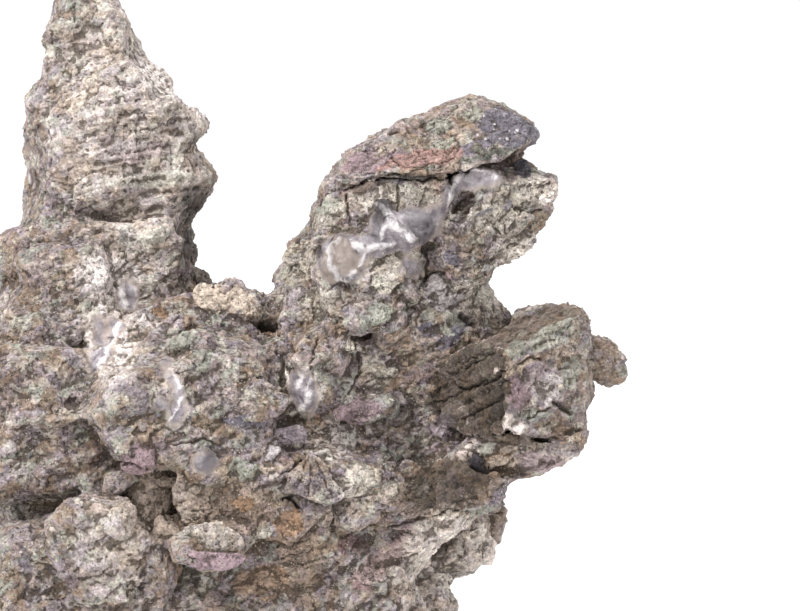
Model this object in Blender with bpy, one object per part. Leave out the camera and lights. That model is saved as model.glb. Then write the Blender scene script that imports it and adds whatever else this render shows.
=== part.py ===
"""A suiseki viewing stone: one rugged, twin-peaked piece of veined volcanic rock on a flat cut base.

The stone is roughed out from main masses, each a prism on an outline or a chiselled block.
They are fused into one skin, strewn with the lumps and plates of the broken bedding,
carved with its hollows and cracks, thinned to a faceted solid and cut flat underneath.

Frame: metres, +Z up, the front of the stone faces -Y, and the origin is on the base.
Every size below is in millimetres.
"""

import itertools
import math

import bmesh
import bpy
import numpy as np
from mathutils import Matrix, Vector

MM = 0.001

# Driving sizes of the whole stone
BEDDING_DIP = 19.0
BEDDING_LEAN = 12.0
ROUGH_VOXEL = 1.5
SKIN_VOXEL = 1.15
TRIANGLES = 9600
BASE_SNAP = 0.45
SHORTEST_EDGE = 0.05
SHARP_ANGLE = 35.0
STONE_COLOUR = (0.36, 0.32, 0.29, 1.0)
STONE_ROUGHNESS = 0.9

# A main mass: where its rings stand from front to back, in halves of its depth, the share of that
# half over which it keeps its full outline, and the least that a point is drawn in to
RING_STATIONS = (-1.0, -0.62, 0.0, 0.62, 1.0)
FULL_OUTLINE = 0.3
LEAST_DRAWN = 0.2

# A chiselled block: how many corners, how boxy it is, and how far its corners reach
BLOCK_CORNERS = 22
LUMP_CORNERS = 14
BOXINESS = 5
CORNER_REACH = (0.86, 1.06)

# Main masses drawn by their outline as seen from the front: (x, z) points, then the depth range
# (front, back), how far the front and back faces are drawn in from the rim, how much thinner the
# mass is at its top than at its foot, and how far back it runs for each step to the right.
OUTLINES = {
    "spire_body": (
        [(16.7, 136), (13.6, 135), (14.3, 130.5), (12, 126.4), (7.9, 124.3), (8.4, 120.2),
         (4.8, 115.6), (4, 111.5), (0, 100), (8, 76), (42.7, 70), (63.2, 84.5), (66.2, 104.8),
         (62.3, 111), (59.2, 113.5), (60.5, 118.7), (58, 124), (52, 140), (37.5, 143), (27.3, 141)],
        (-20, 22), 7, 0.25, 0.0),
    "prong": (
        [(50.2, 143.4), (55.2, 145.2), (65, 146.5), (71, 146), (72, 144.4), (76, 144.6),
         (79.4, 143.2), (78.2, 137.1), (76, 132.6), (73.4, 126.6), (70.2, 122.8), (65.5, 119.5),
         (61.4, 119.5), (59.4, 113.3), (50, 111), (43, 120), (45.1, 134)],
        (-25, 8), 4, 0.15, 0.0),
    "cap": (
        [(16.1, 135.4), (17.7, 139.2), (20.7, 143.8), (24.8, 148.8), (30.4, 153.4), (35, 154.4),
         (37, 153.7), (41.8, 158.2), (46.1, 158.5), (50.6, 161.2), (55.7, 162.5), (59.7, 162),
         (64.3, 159.7), (69.6, 157), (73.2, 153.4), (70.6, 150.6), (66, 149.4), (57.8, 147),
         (47.7, 144), (37.5, 142.8), (27.3, 141.5)],
        (-26, 10), 5, 0.3, 0.0),
    "neck": (
        [(50, 136), (54, 150), (64, 151), (68, 148), (66, 140), (60, 134)],
        (-13, 8), 3, 0.0, 0.0),
    "left_peak": (
        [(-48, 202), (-42, 195), (-35.9, 186), (-34.9, 181), (-32.3, 176), (-30.8, 171.7),
         (-25.4, 168.4), (-22, 165.4), (-22.4, 162), (-17, 159.4), (-12.2, 155.4), (-11.6, 152),
         (-18.4, 148.3), (-13.2, 145.4), (-9.4, 139), (-13.4, 133.9), (-14.6, 130.4),
         (-18.1, 127), (-19.2, 122.4), (-16.6, 118), (-19.9, 114.8), (-13, 112), (-14, 96),
         (-40, 70), (-66, 80), (-68, 106), (-66, 122), (-62, 136), (-63, 149), (-58, 162),
         (-57, 176), (-53, 191)],
        (-2, 50), 8, 0.72, 0.0),
    "saddle": (
        [(-30, 100), (-23.2, 108.3), (-12.8, 114), (-8.4, 115.6), (-3.8, 112.8), (1.9, 110.1),
         (12, 108), (20, 90), (0, 70), (-30, 80)],
        (-20, 22), 6, 0.4, 0.0),
    "block": (
        [(47.4, 89), (54.7, 99.2), (63.3, 106.6), (66.9, 109.6), (65.7, 110.8), (70.6, 112.6),
         (74.8, 111.8), (78.2, 112.8), (81.9, 111.6), (83.6, 106.6), (84.2, 102.9), (84.8, 91.2),
         (84, 88.7), (83, 85.4), (64.5, 85.4), (61.5, 89)],
        (-54, -8), 3, 0.0, 0.0),
    "lower_block": (
        [(49.9, 77), (60, 80), (76, 82), (82.6, 82), (81, 77.5), (76, 74.6),
         (72, 73), (68.6, 71.6), (63, 70), (57.5, 64), (47.5, 61), (40, 70)],
        (-48, -4), 4, 0.0, 0.0),
    "left_lump": (
        [(-36, 96), (-26, 101), (-18, 104), (-11, 108), (-7, 105), (1, 104), (7, 101), (10, 94),
         (11, 84), (12, 77), (9, 70), (3, 67.5), (-3, 67), (-10, 70), (-17, 72), (-27, 71),
         (-33, 75), (-38, 82), (-42, 90)],
        (-45, 0), 5, 0.25, 0.28),
    "mid_low": (
        [(18, 78), (26, 76), (33, 77), (39, 75), (44, 70), (50, 63), (42, 60), (36, 58.4),
         (27, 59), (21, 63), (17, 69)],
        (-41, -5), 5, 0.15, 0.0),
    "ramp_ledge": (
        [(42, 71), (50, 67), (60, 66), (64.4, 65.4), (65, 63), (62.5, 59.6), (55, 59.3),
         (45, 58.3), (38, 57), (36, 62)],
        (-34, -2), 4, 0.3, 0.1),
    "core": (
        [(-60, 100), (-30, 110), (0, 106), (30, 110), (60, 104), (62, 84), (58, 66), (62, 61),
         (60, 56), (48, 46), (40, 34), (38, 18), (40, -2), (-64, -2), (-62, 30), (-68, 60)],
        (-30, 36), 9, 0.1, 0.0),
}

# Blocks that fill the body and break its faces: name, centre, half sizes, dip, lean, turn
# (dip lifts the right end, lean tips the top back, turn swings the right end back).
BLOCKS = [
    ("body_far_left", (-52, -22, 78), (18, 18, 26), 10, 8, 16),
    ("body_right", (32, -20, 66), (20, 13, 24), 22, 12, 8),
    ("ramp_up_left", (-22, -10, 102), (18, 12, 9), 22, 24, 0),
    ("shoulder_left", (-52, 0, 98), (16, 22, 22), 20, 14, 0),
    ("peach_hump", (-6, -8, 108), (11, 10, 6), 6, 20, 0),
    ("spire_root", (27, -17, 98), (22, 12, 22), 30, 6, 0),
    ("nodule", (17.6, -26, 99), (7.5, 7, 8), 10, 0, 0),
    ("small_nodule", (12.5, -20, 107), (6, 5, 5), 0, 0, 30),
    ("spire_belly", (30, -21, 120), (15, 10, 13), 24, 8, 4),
    ("belly_lump", (37, -25, 109), (8, 7, 9), 30, 0, 10),
    ("spire_flank", (46, -18, 100), (12, 10, 17), -24, 4, 6),
    ("pitted_band", (34, -20, 133), (15, 8, 7), 12, -6, 0),
    ("cap_root", (41, -5, 143), (16, 9, 6), 8, 0, 0),
    ("flake", (29, -31, 86), (8, 7, 4), 14, 10, 0),
    ("quartz_lump", (15, -28, 90), (6, 6, 9), -20, 0, 0),
    ("left_of_fan", (1, -34, 72), (13, 8, 7), -8, 0, 10),
    ("fan", (16, -33, 71), (8, 7, 7), 40, 10, 0),
    ("knob", (88.6, -15, 96.6), (6.2, 6.4, 7.0), 0, 0, 20),
    ("knob_neck", (83, -15, 97), (6, 6, 6), 0, 0, 0),
    ("block_ridge", (64, -26, 101), (20, 5, 4), 28, 0, -14),
    ("block_slope", (56, -11, 92), (18, 9, 6), 28, 34, -12),
    ("block_ledge", (73, -50, 88), (9, 6, 3), 8, 0, 0),
    ("block_step", (72, -52, 92), (8, 5, 7), 4, 0, -6),
    ("block_root", (60, -10, 88), (17, 12, 18), 10, 0, 0),
    ("wedge_tip", (55, -36, 75), (9, 7, 5), 20, 0, 10),
    ("step_right", (57, -8, 60), (7, 9, 5), 8, 0, 0),
    ("crescent", (46, -25, 82), (6, 5, 4), -20, 0, 0),
    ("rear_right", (50, 26, 42), (15, 15, 13), 8, 0, -14),
    ("rear_right_low", (38, 22, 22), (16, 17, 18), 0, 0, 0),
    ("left_peak_mid", (-40, 16, 150), (20, 16, 22), 8, 4, 6),
    ("left_peak_ledge", (-26, 18, 140), (13, 14, 6), 10, 6, 0),
    ("left_peak_shelf", (-28, 16, 156), (13, 12, 6), 14, 6, 0),
    ("left_peak_foot", (-42, 10, 114), (24, 22, 18), 12, 8, 0),
    ("left_peak_face", (-46, -8, 112), (14, 9, 14), 14, 10, 0),
    ("left_flank", (-62, 6, 76), (11, 26, 34), 0, 6, 14),
    ("foot_left_front", (-40, -40, 34), (24, 17, 30), 8, 14, 6),
    ("foot_left_lump", (-34, -48, 56), (13, 11, 15), 10, 0, 10),
    ("foot_left_low", (-50, -28, 14), (24, 28, 18), 0, 0, 0),
    ("foot_mid_lump", (-9, -42, 56), (12, 12, 8), -14, 0, 0),
    ("foot_mid_front", (-4, -38, 32), (22, 15, 22), 10, 12, -4),
    ("foot_mid_low", (0, -36, 10), (26, 20, 12), 4, 0, 0),
    ("under_fan", (12, -32, 54), (12, 9, 10), 20, 0, 0),
    ("foot_right_front", (26, -27, 34), (18, 12, 26), 24, 14, 14),
    ("foot_right_low", (26, -24, 10), (20, 18, 12), 6, 0, 10),
    ("foot_left_back", (-46, 28, 36), (26, 22, 38), -8, -8, -12),
    ("foot_mid_back", (-6, 36, 34), (28, 18, 34), 10, -12, 6),
    ("back_shoulder", (-18, 36, 82), (30, 16, 30), 14, -10, -8),
    ("back_spire", (34, 20, 116), (18, 10, 26), 26, -6, 8),
    ("back_spire_ledge", (42, 20, 138), (15, 9, 5), 20, 6, 0),
    ("back_spire_root", (28, 30, 86), (28, 16, 22), 20, -14, 10),
    ("back_left_peak", (-44, 36, 128), (20, 14, 32), 4, -10, -6),
    ("back_peak_ledge", (-40, 38, 150), (15, 9, 5), 16, 0, 0),
    ("back_ledge", (6, 46, 62), (24, 11, 9), 16, 0, 4),
    ("back_low_ledge", (-34, 50, 20), (26, 11, 11), 6, 0, -4),
    ("back_right_rib", (52, 34, 66), (11, 14, 12), 24, 0, 12),
    ("back_block", (64, 4, 92), (15, 13, 11), 12, 0, 0),
]

# Hollows scooped into the skin: centre, radius, depth
HOLLOWS = [
    ("under_left_lump", (-20, -46, 65), 8, 6),
    ("left_edge_hollow", (-52, -46, 78), 10, 6),
    ("block_shadow", (56, -34, 91), 10, 8),
    ("quartz_pocket", (54.5, -27, 137), 4.5, 4),
    ("saddle_hole", (4.3, -20, 105), 4, 4),
    ("spire_left_hollow", (4, -16, 112), 5, 3),
    ("below_mauve", (34, -34, 80), 5, 4),
    ("back_hollow", (16, 50, 94), 13, 8),
    ("back_left_hollow", (-62, 48, 92), 12, 8),
    ("back_low_hollow", (16, 54, 34), 12, 8),
]

# Cracks and shadow gaps: the points each follows, its half width and its depth
GAPS = [
    ("under_cap", [(18, -26, 137), (26, -27, 141), (38, -28, 142.5), (48, -27, 141.5), (53, -26, 145)],
     1.6, 5.0),
    ("beside_prong", [(44.5, -30, 134), (44, -30, 124), (44, -30, 116)], 1.4, 3.5),
    ("under_block", [(57, -56, 82), (70, -56, 83.6), (78, -56, 84), (86, -40, 83.7)], 1.6, 9.0),
    ("block_side", [(62, -54, 104), (61.5, -54, 92), (62, -54, 84)], 2.5, 5.0),
    ("under_mid_low", [(24, -44, 58), (36, -44, 56.5), (48, -40, 57), (62, -34, 58)], 1.7, 4.5),
    ("under_left_lump", [(-42, -54, 74), (-30, -52, 70), (-16, -50, 70), (2, -46, 65), (12, -44, 66)],
     2.0, 5.0),
    ("peak_ledge", [(-60, 2, 137), (-30, 2, 140), (-14, 8, 145)], 1.6, 3.5),
    ("peak_foot", [(-44, -10, 102), (-26, -10, 104), (-16, -6, 112)], 2.0, 4.0),
    ("back_seam", [(-60, 54, 66), (-20, 54, 76), (30, 54, 92)], 2.0, 4.5),
    ("back_spire_seam", [(20, 36, 116), (40, 36, 126), (60, 30, 130)], 1.8, 4.0),
    ("left_side_seam", [(-76, -30, 58), (-78, 10, 66), (-74, 44, 62)], 2.0, 4.0),
]

# Lumps and plates of the broken bedding strewn over the skin: how many, their half sizes, and how
# flat they are. They keep to the front and back faces, and off the block and knob.
STREWN = [
    ("plates", 110, (4.0, 9.0), 0.36),
    ("lumps", 100, (2.8, 5.5), 0.75),
]
STREWN_FACING = 0.55
STREWN_RIGHT_LIMIT = 64
STREWN_WIDTH = (0.6, 0.9)
STREWN_DIP_SPREAD = 9
STREWN_LEAN_SPREAD = 12
STREWN_TURN = 40

# Weathering: the size and the height of each swell of the skin, and of the waver of the beds
SWELLS = [(14, 1.6), (6, 0.8), (3.2, 0.5)]
BED_WAVER = (22, 2.5)

# Ledges along the bedding: the height of one bed, the share of it that slopes out, how far it
# stands out, and how its strength changes over the stone (size of the change, mean, most)
BED_HEIGHT = 6.5
BED_SLOPE = 0.8
LEDGE_DEPTH = 1.3
LEDGE_CHANGE, LEDGE_MEAN, LEDGE_MOST = 26, 0.6, 1.2

# The rim of a gap: how steep it is, how little the depth counts in its width, and how far round
# the side of the stone it reaches
GAP_STEEPNESS = 1.6
GAP_DEPTH_SHARE = 0.12
GAP_ROUND_SIDE = 0.5

# Whole numbers that mix a grid corner and a seed into a seeded value
MIX_AXES = (73856093, 19349663, 83492791)
MIX_SEED = 2654435761
MIX_FIRST, MIX_SECOND = 1274126177, 1103515245
MIX_MASK = 0x7FFFFFFF


def clear_scene():
    for leftover in list(bpy.data.objects):
        bpy.data.objects.remove(leftover, do_unlink=True)


def bedding_turn(dip, lean, turn):
    """Rotation that lifts the right end by dip, tips the top back by lean and swings by turn."""
    return (
        Matrix.Rotation(math.radians(turn), 3, "Z")
        @ Matrix.Rotation(math.radians(-dip), 3, "Y")
        @ Matrix.Rotation(math.radians(-lean), 3, "X")
    )


def add_prism(bm, outline, depth, draw_in, taper, slant):
    """A prism on a front outline: its full size at mid depth, drawn in at the front and back."""
    middle, half = sum(depth) / 2, (depth[1] - depth[0]) / 2
    points = np.array(outline, float)
    centre = points.mean(axis=0)
    reach = np.linalg.norm(points - centre, axis=1, keepdims=True)
    drawn = centre + (points - centre) * np.clip(1 - draw_in / reach, LEAST_DRAWN, 1)
    foot, top = points[:, 1].min(), points[:, 1].max()
    rings = []
    for place in RING_STATIONS:
        share = max(0.0, (abs(place) - FULL_OUTLINE) / (1 - FULL_OUTLINE))
        ring = []
        for x, z in points + (drawn - points) * share:
            thin = 1 - taper * (z - foot) / (top - foot)
            y = middle + place * half * thin + slant * (x - centre[0])
            ring.append(bm.verts.new((x * MM, y * MM, z * MM)))
        rings.append(ring)
    for near, far in itertools.pairwise(rings):
        for i in range(len(near)):
            j = (i + 1) % len(near)
            bm.faces.new((near[i], near[j], far[j], far[i]))
    bm.faces.new(rings[0][::-1])
    bm.faces.new(rings[-1])


def add_chiselled_block(bm, at, half, turned, seed, corners):
    """A convex block: the hull of seeded points spread over a box whose corners are rounded off."""
    random = np.random.default_rng(seed)
    direction = random.normal(size=(corners, 3))
    direction /= np.linalg.norm(direction, axis=1, keepdims=True)
    gauge = (np.abs(direction) ** BOXINESS).sum(axis=1, keepdims=True) ** (1 / BOXINESS)
    local = direction / gauge * random.uniform(*CORNER_REACH, (corners, 1)) * np.array(half)
    chip = bmesh.new()
    for point in local:
        chip.verts.new((turned @ Vector(point) + Vector(at)) * MM)
    made = bmesh.ops.convex_hull(chip, input=chip.verts)
    spare = {v for v in made["geom_interior"] + made["geom_unused"] if isinstance(v, bmesh.types.BMVert)}
    bmesh.ops.delete(chip, geom=list(spare), context="VERTS")
    bmesh.ops.recalc_face_normals(chip, faces=chip.faces)
    copied = {v: bm.verts.new(v.co) for v in chip.verts}
    for face in chip.faces:
        bm.faces.new([copied[v] for v in face.verts])
    chip.free()


def mesh_object(name, bm):
    """Keeps a bmesh as an object of this name."""
    mesh = bpy.data.meshes.new(name)
    bm.to_mesh(mesh)
    bm.free()
    made = bpy.data.objects.new(name, mesh)
    bpy.context.collection.objects.link(made)
    return made


def apply_modifier(stone, kind, **settings):
    """Adds one modifier, keeps its result as the object's mesh and removes the modifier."""
    modifier = stone.modifiers.new(kind, kind)
    for setting, value in settings.items():
        setattr(modifier, setting, value)
    bpy.context.view_layer.update()
    graph = bpy.context.evaluated_depsgraph_get()
    shaped = bpy.data.meshes.new_from_object(stone.evaluated_get(graph))
    stone.modifiers.clear()
    before, stone.data = stone.data, shaped
    bpy.data.meshes.remove(before)


def rough_out():
    """All the main masses in one mesh, still overlapping."""
    bm = bmesh.new()
    for outline, depth, draw_in, taper, slant in OUTLINES.values():
        add_prism(bm, outline, depth, draw_in, taper, slant)
    for seed, (_, at, half, dip, lean, turn) in enumerate(BLOCKS):
        add_chiselled_block(bm, at, half, bedding_turn(dip, lean, turn), seed, BLOCK_CORNERS)
    return mesh_object("stone", bm)


def keep_outer_skin(stone):
    """Keeps the island of faces that spans the most room, without crumbs or closed-in cavities."""
    bm = bmesh.new()
    bm.from_mesh(stone.data)
    waiting = set(bm.verts)
    islands = []
    while waiting:
        front = [waiting.pop()]
        island = list(front)
        while front:
            near = {e.other_vert(v) for v in front for e in v.link_edges} & waiting
            waiting -= near
            front = list(near)
            island += front
        islands.append(island)
    islands.sort(key=lambda island: max(v.co.x for v in island) - min(v.co.x for v in island))
    for island in islands[:-1]:
        bmesh.ops.delete(bm, geom=island, context="VERTS")
    bm.to_mesh(stone.data)
    bm.free()


def read_points(mesh):
    points = np.empty(len(mesh.vertices) * 3, np.float32)
    mesh.vertices.foreach_get("co", points)
    return points.reshape(-1, 3).astype(float) / MM


def read_normals(mesh):
    normals = np.empty(len(mesh.vertices) * 3, np.float32)
    mesh.vertex_normals.foreach_get("vector", normals)
    return normals.reshape(-1, 3).astype(float)


def write_points(mesh, points):
    mesh.vertices.foreach_set("co", (points * MM).astype(np.float32).ravel())
    mesh.update()


def strew(stone, count, sizes, flatness, seed):
    """Adds blocks that lie with the bedding at seeded places on the skin, sunk by half."""
    random = np.random.default_rng(seed)
    mesh = stone.data
    centres = np.empty(len(mesh.polygons) * 3, np.float32)
    mesh.polygons.foreach_get("center", centres)
    centres = centres.reshape(-1, 3) / MM
    normals = np.array([face.normal for face in mesh.polygons])
    faces_out = np.abs(normals[:, 1]) > STREWN_FACING
    open_skin = np.flatnonzero(faces_out & (centres[:, 0] < STREWN_RIGHT_LIMIT))
    bm = bmesh.new()
    bm.from_mesh(mesh)
    for number, face in enumerate(random.choice(open_skin, count)):
        size = sizes[0] + (sizes[1] - sizes[0]) * random.random() ** 2
        half = (size, size * random.uniform(*STREWN_WIDTH), size * flatness)
        dip = BEDDING_DIP + random.normal(0, STREWN_DIP_SPREAD)
        lean = BEDDING_LEAN + random.normal(0, STREWN_LEAN_SPREAD)
        turned = bedding_turn(dip, lean, random.uniform(-STREWN_TURN, STREWN_TURN))
        add_chiselled_block(bm, centres[face], half, turned, seed * 1000 + number, LUMP_CORNERS)
    bm.to_mesh(mesh)
    bm.free()


def smooth_noise(points, cell, seed):
    """Seeded values from -1 to 1 at the corners of a grid of this cell, smoothly blended between."""
    scaled = points / cell
    corner = np.floor(scaled).astype(np.int64)
    share = scaled - corner
    share = share * share * (3 - 2 * share)
    total = np.zeros(len(points))
    for step in itertools.product((0, 1), repeat=3):
        key = (corner + step) @ np.array(MIX_AXES) + seed * MIX_SEED
        key = (key ^ (key >> 13)) * MIX_FIRST & MIX_MASK
        key = (key ^ (key >> 15)) * MIX_SECOND & MIX_MASK
        weight = np.prod(np.where(step, share, 1 - share), axis=1)
        total += weight * ((key >> 8 & 0xFFFF) / 32767.5 - 1)
    return total


def weather(stone):
    """Pushes the skin in and out: broad swells, ledges along the bedding, and crumbly lumps."""
    points, normals = read_points(stone.data), read_normals(stone.data)
    tilt = np.array(bedding_turn(BEDDING_DIP, BEDDING_LEAN, 0) @ Vector((0, 0, 1)))
    size, waver = BED_WAVER
    height = points @ tilt + waver * smooth_noise(points, size, 1)
    bed = (height / BED_HEIGHT) % 1.0
    shelf = np.where(bed < BED_SLOPE, bed / BED_SLOPE, (1 - bed) / (1 - BED_SLOPE)) - 0.5
    swelling = np.zeros(len(points))
    for seed, (size, rise) in enumerate(SWELLS, start=2):
        swelling += rise * smooth_noise(points, size, seed)
    sideways = normals * np.array([1, 1, 0])
    strength = np.clip(LEDGE_MEAN + smooth_noise(points, LEDGE_CHANGE, 5), 0, LEDGE_MOST)
    ledges = sideways * (LEDGE_DEPTH * shelf * strength)[:, None]
    write_points(stone.data, points + normals * swelling[:, None] + ledges)


def carve(stone):
    """Sinks the hollows, and the gaps along their lines, straight into the skin."""
    points, normals = read_points(stone.data), read_normals(stone.data)
    sink = np.zeros(len(points))
    for _, centre, radius, depth in HOLLOWS:
        away = np.linalg.norm(points - np.array(centre), axis=1) / radius
        sink = np.maximum(sink, depth * np.clip(1 - away**2, 0, 1))
    for _, line, half_width, depth in GAPS:
        for start, end in itertools.pairwise(np.array(line, float)):
            along = np.clip(((points - start) @ (end - start)) / ((end - start) @ (end - start)), 0, 1)
            offset = points - start - along[:, None] * (end - start)
            offset[:, 1] *= GAP_DEPTH_SHARE
            away = np.linalg.norm(offset, axis=1) / half_width
            facing = np.clip(-normals[:, 1] * np.sign(-start[1]) + GAP_ROUND_SIDE, 0, 1)
            sink = np.maximum(sink, depth * np.clip(GAP_STEEPNESS * (1 - away**2), 0, 1) * facing)
    write_points(stone.data, points - normals * sink[:, None])


def cut_base(stone):
    """Cuts the underside off flat at z = 0."""
    bm = bmesh.new()
    bm.from_mesh(stone.data)
    whole = list(bm.verts) + list(bm.edges) + list(bm.faces)
    cut = bmesh.ops.bisect_plane(
        bm, geom=whole, plane_co=(0, 0, 0), plane_no=(0, 0, -1), clear_outer=True
    )
    rim = [edge for edge in cut["geom_cut"] if isinstance(edge, bmesh.types.BMEdge)]
    bmesh.ops.holes_fill(bm, edges=rim, sides=0)
    bm.to_mesh(stone.data)
    bm.free()


def flatten_base(stone):
    """Puts the points of the cut back on z = 0 exactly and takes out edges with no length."""
    points = read_points(stone.data)
    points[points[:, 2] < BASE_SNAP, 2] = 0
    write_points(stone.data, points)
    bm = bmesh.new()
    bm.from_mesh(stone.data)
    bmesh.ops.dissolve_degenerate(bm, edges=bm.edges, dist=SHORTEST_EDGE * MM)
    bm.to_mesh(stone.data)
    bm.free()


def stone_material():
    material = bpy.data.materials.new("stone")
    material.use_nodes = True
    surface = material.node_tree.nodes["Principled BSDF"]
    surface.inputs["Base Color"].default_value = STONE_COLOUR
    surface.inputs["Roughness"].default_value = STONE_ROUGHNESS
    surface.inputs["Metallic"].default_value = 0.0
    return material


def build_stone():
    stone = rough_out()
    apply_modifier(stone, "REMESH", mode="VOXEL", voxel_size=ROUGH_VOXEL * MM)
    for seed, (_, count, sizes, flatness) in enumerate(STREWN, start=1):
        strew(stone, count, sizes, flatness, seed)
    apply_modifier(stone, "REMESH", mode="VOXEL", voxel_size=SKIN_VOXEL * MM)
    weather(stone)
    carve(stone)
    apply_modifier(stone, "REMESH", mode="VOXEL", voxel_size=SKIN_VOXEL * MM)
    keep_outer_skin(stone)
    apply_modifier(stone, "SMOOTH", factor=0.5, iterations=2)
    cut_base(stone)
    faces = sum(len(face.vertices) - 2 for face in stone.data.polygons)
    apply_modifier(stone, "DECIMATE", ratio=TRIANGLES / faces)
    flatten_base(stone)
    stone.data.materials.append(stone_material())
    stone.data.shade_smooth()
    stone.data.set_sharp_from_angle(angle=math.radians(SHARP_ANGLE))
    return stone


clear_scene()
build_stone()
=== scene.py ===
"""Dresses the viewing stone: its broken skin, the quartz that runs through it and its crumbs.

Shapes are worked out in millimetres in the stone's own frame, and go into meshes in metres.
Places taken from the photograph are pixels of its 800 by 611 frame: (column, row).
"""

import itertools
import math

import bpy
import numpy as np
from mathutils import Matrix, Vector
from mathutils.bvhtree import BVHTree
from mathutils.geometry import tessellate_polygon


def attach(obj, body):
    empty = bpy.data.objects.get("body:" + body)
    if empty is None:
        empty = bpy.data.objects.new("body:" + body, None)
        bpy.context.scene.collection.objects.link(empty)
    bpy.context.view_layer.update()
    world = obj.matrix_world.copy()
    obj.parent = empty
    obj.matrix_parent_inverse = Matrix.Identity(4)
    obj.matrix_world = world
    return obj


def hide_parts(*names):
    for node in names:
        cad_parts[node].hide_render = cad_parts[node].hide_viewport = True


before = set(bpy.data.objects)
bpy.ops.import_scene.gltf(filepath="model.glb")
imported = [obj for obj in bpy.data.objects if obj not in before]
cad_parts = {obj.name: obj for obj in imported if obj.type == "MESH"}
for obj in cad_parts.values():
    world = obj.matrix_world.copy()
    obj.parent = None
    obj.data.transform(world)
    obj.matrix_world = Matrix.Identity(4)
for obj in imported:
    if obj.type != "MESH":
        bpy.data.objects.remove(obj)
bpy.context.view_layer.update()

MM = 0.001

# The camera, as the photograph sees the stone
PHOTO_WIDTH, PHOTO_HEIGHT = 800, 611
LENS, SENSOR = 110.0, 36.0
VIEW_TARGET = np.array([37.5, -20.0, 111.0])
VIEW_DISTANCE = 611.0
VIEW_LIFT = math.radians(8)
VIEW_ALONG = np.array([0.0, math.cos(VIEW_LIFT), -math.sin(VIEW_LIFT)])
VIEW_UP = np.array([0.0, math.sin(VIEW_LIFT), math.cos(VIEW_LIFT)])
VIEW_RIGHT = np.array([1.0, 0.0, 0.0])
EYE = VIEW_TARGET - VIEW_DISTANCE * VIEW_ALONG
PIXELS_PER_SLOPE = PHOTO_WIDTH * LENS / SENSOR
PIXELS_PER_MM = PIXELS_PER_SLOPE / VIEW_DISTANCE

# The stone's grain: how its beds lie and how fine its skin is
BEDDING_DIP = math.radians(19)
BEDDING_LEAN = math.radians(12)
FIRST_VOXEL = 0.8
SKIN_VOXEL = 0.42
CHUNK_TRIANGLES = 190000
SHARP_ANGLE = 32
BASE_FADE = 2.5
LAYER_STRETCH = 7.0

# The skin is kept in closed chunks that overlap a little inside the rock, each a box: low and high corner
CHUNKS = {
    "front_left": ((-120, -120, -20), (14.2, 6.2, 240)),
    "front_right": ((13.8, -120, -20), (140, 6.2, 240)),
    "back": ((-120, 5.8, -20), (140, 120, 240)),
}

# Clasts of rock fused into the skin: how many, their half sizes, how far they stand out of it, how
# strongly they lie with the beds, and the rings of points that each is made of
FUSED_CLASTS = (
    (420, (2.6, 6.0), (0.0, 0.7), 0.7, 11),
    (5200, (0.9, 2.6), (0.1, 0.5), 0.6, 6),
)
CLAST_REACH = 0.45
SEAM_DEPTH = 0.16

# Crumbs that lie on the skin: how many, their half sizes, how far they stand out, and on which side
CRUMBS = {
    "crumbs_front": (4600, (0.6, 1.4), (0.1, 0.4), 1),
    "fine_crumbs_front": (5400, (0.3, 0.8), (0.1, 0.35), 1),
    "crumbs_around": (5000, (0.7, 1.7), (0.15, 0.5), 0),
}

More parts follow.
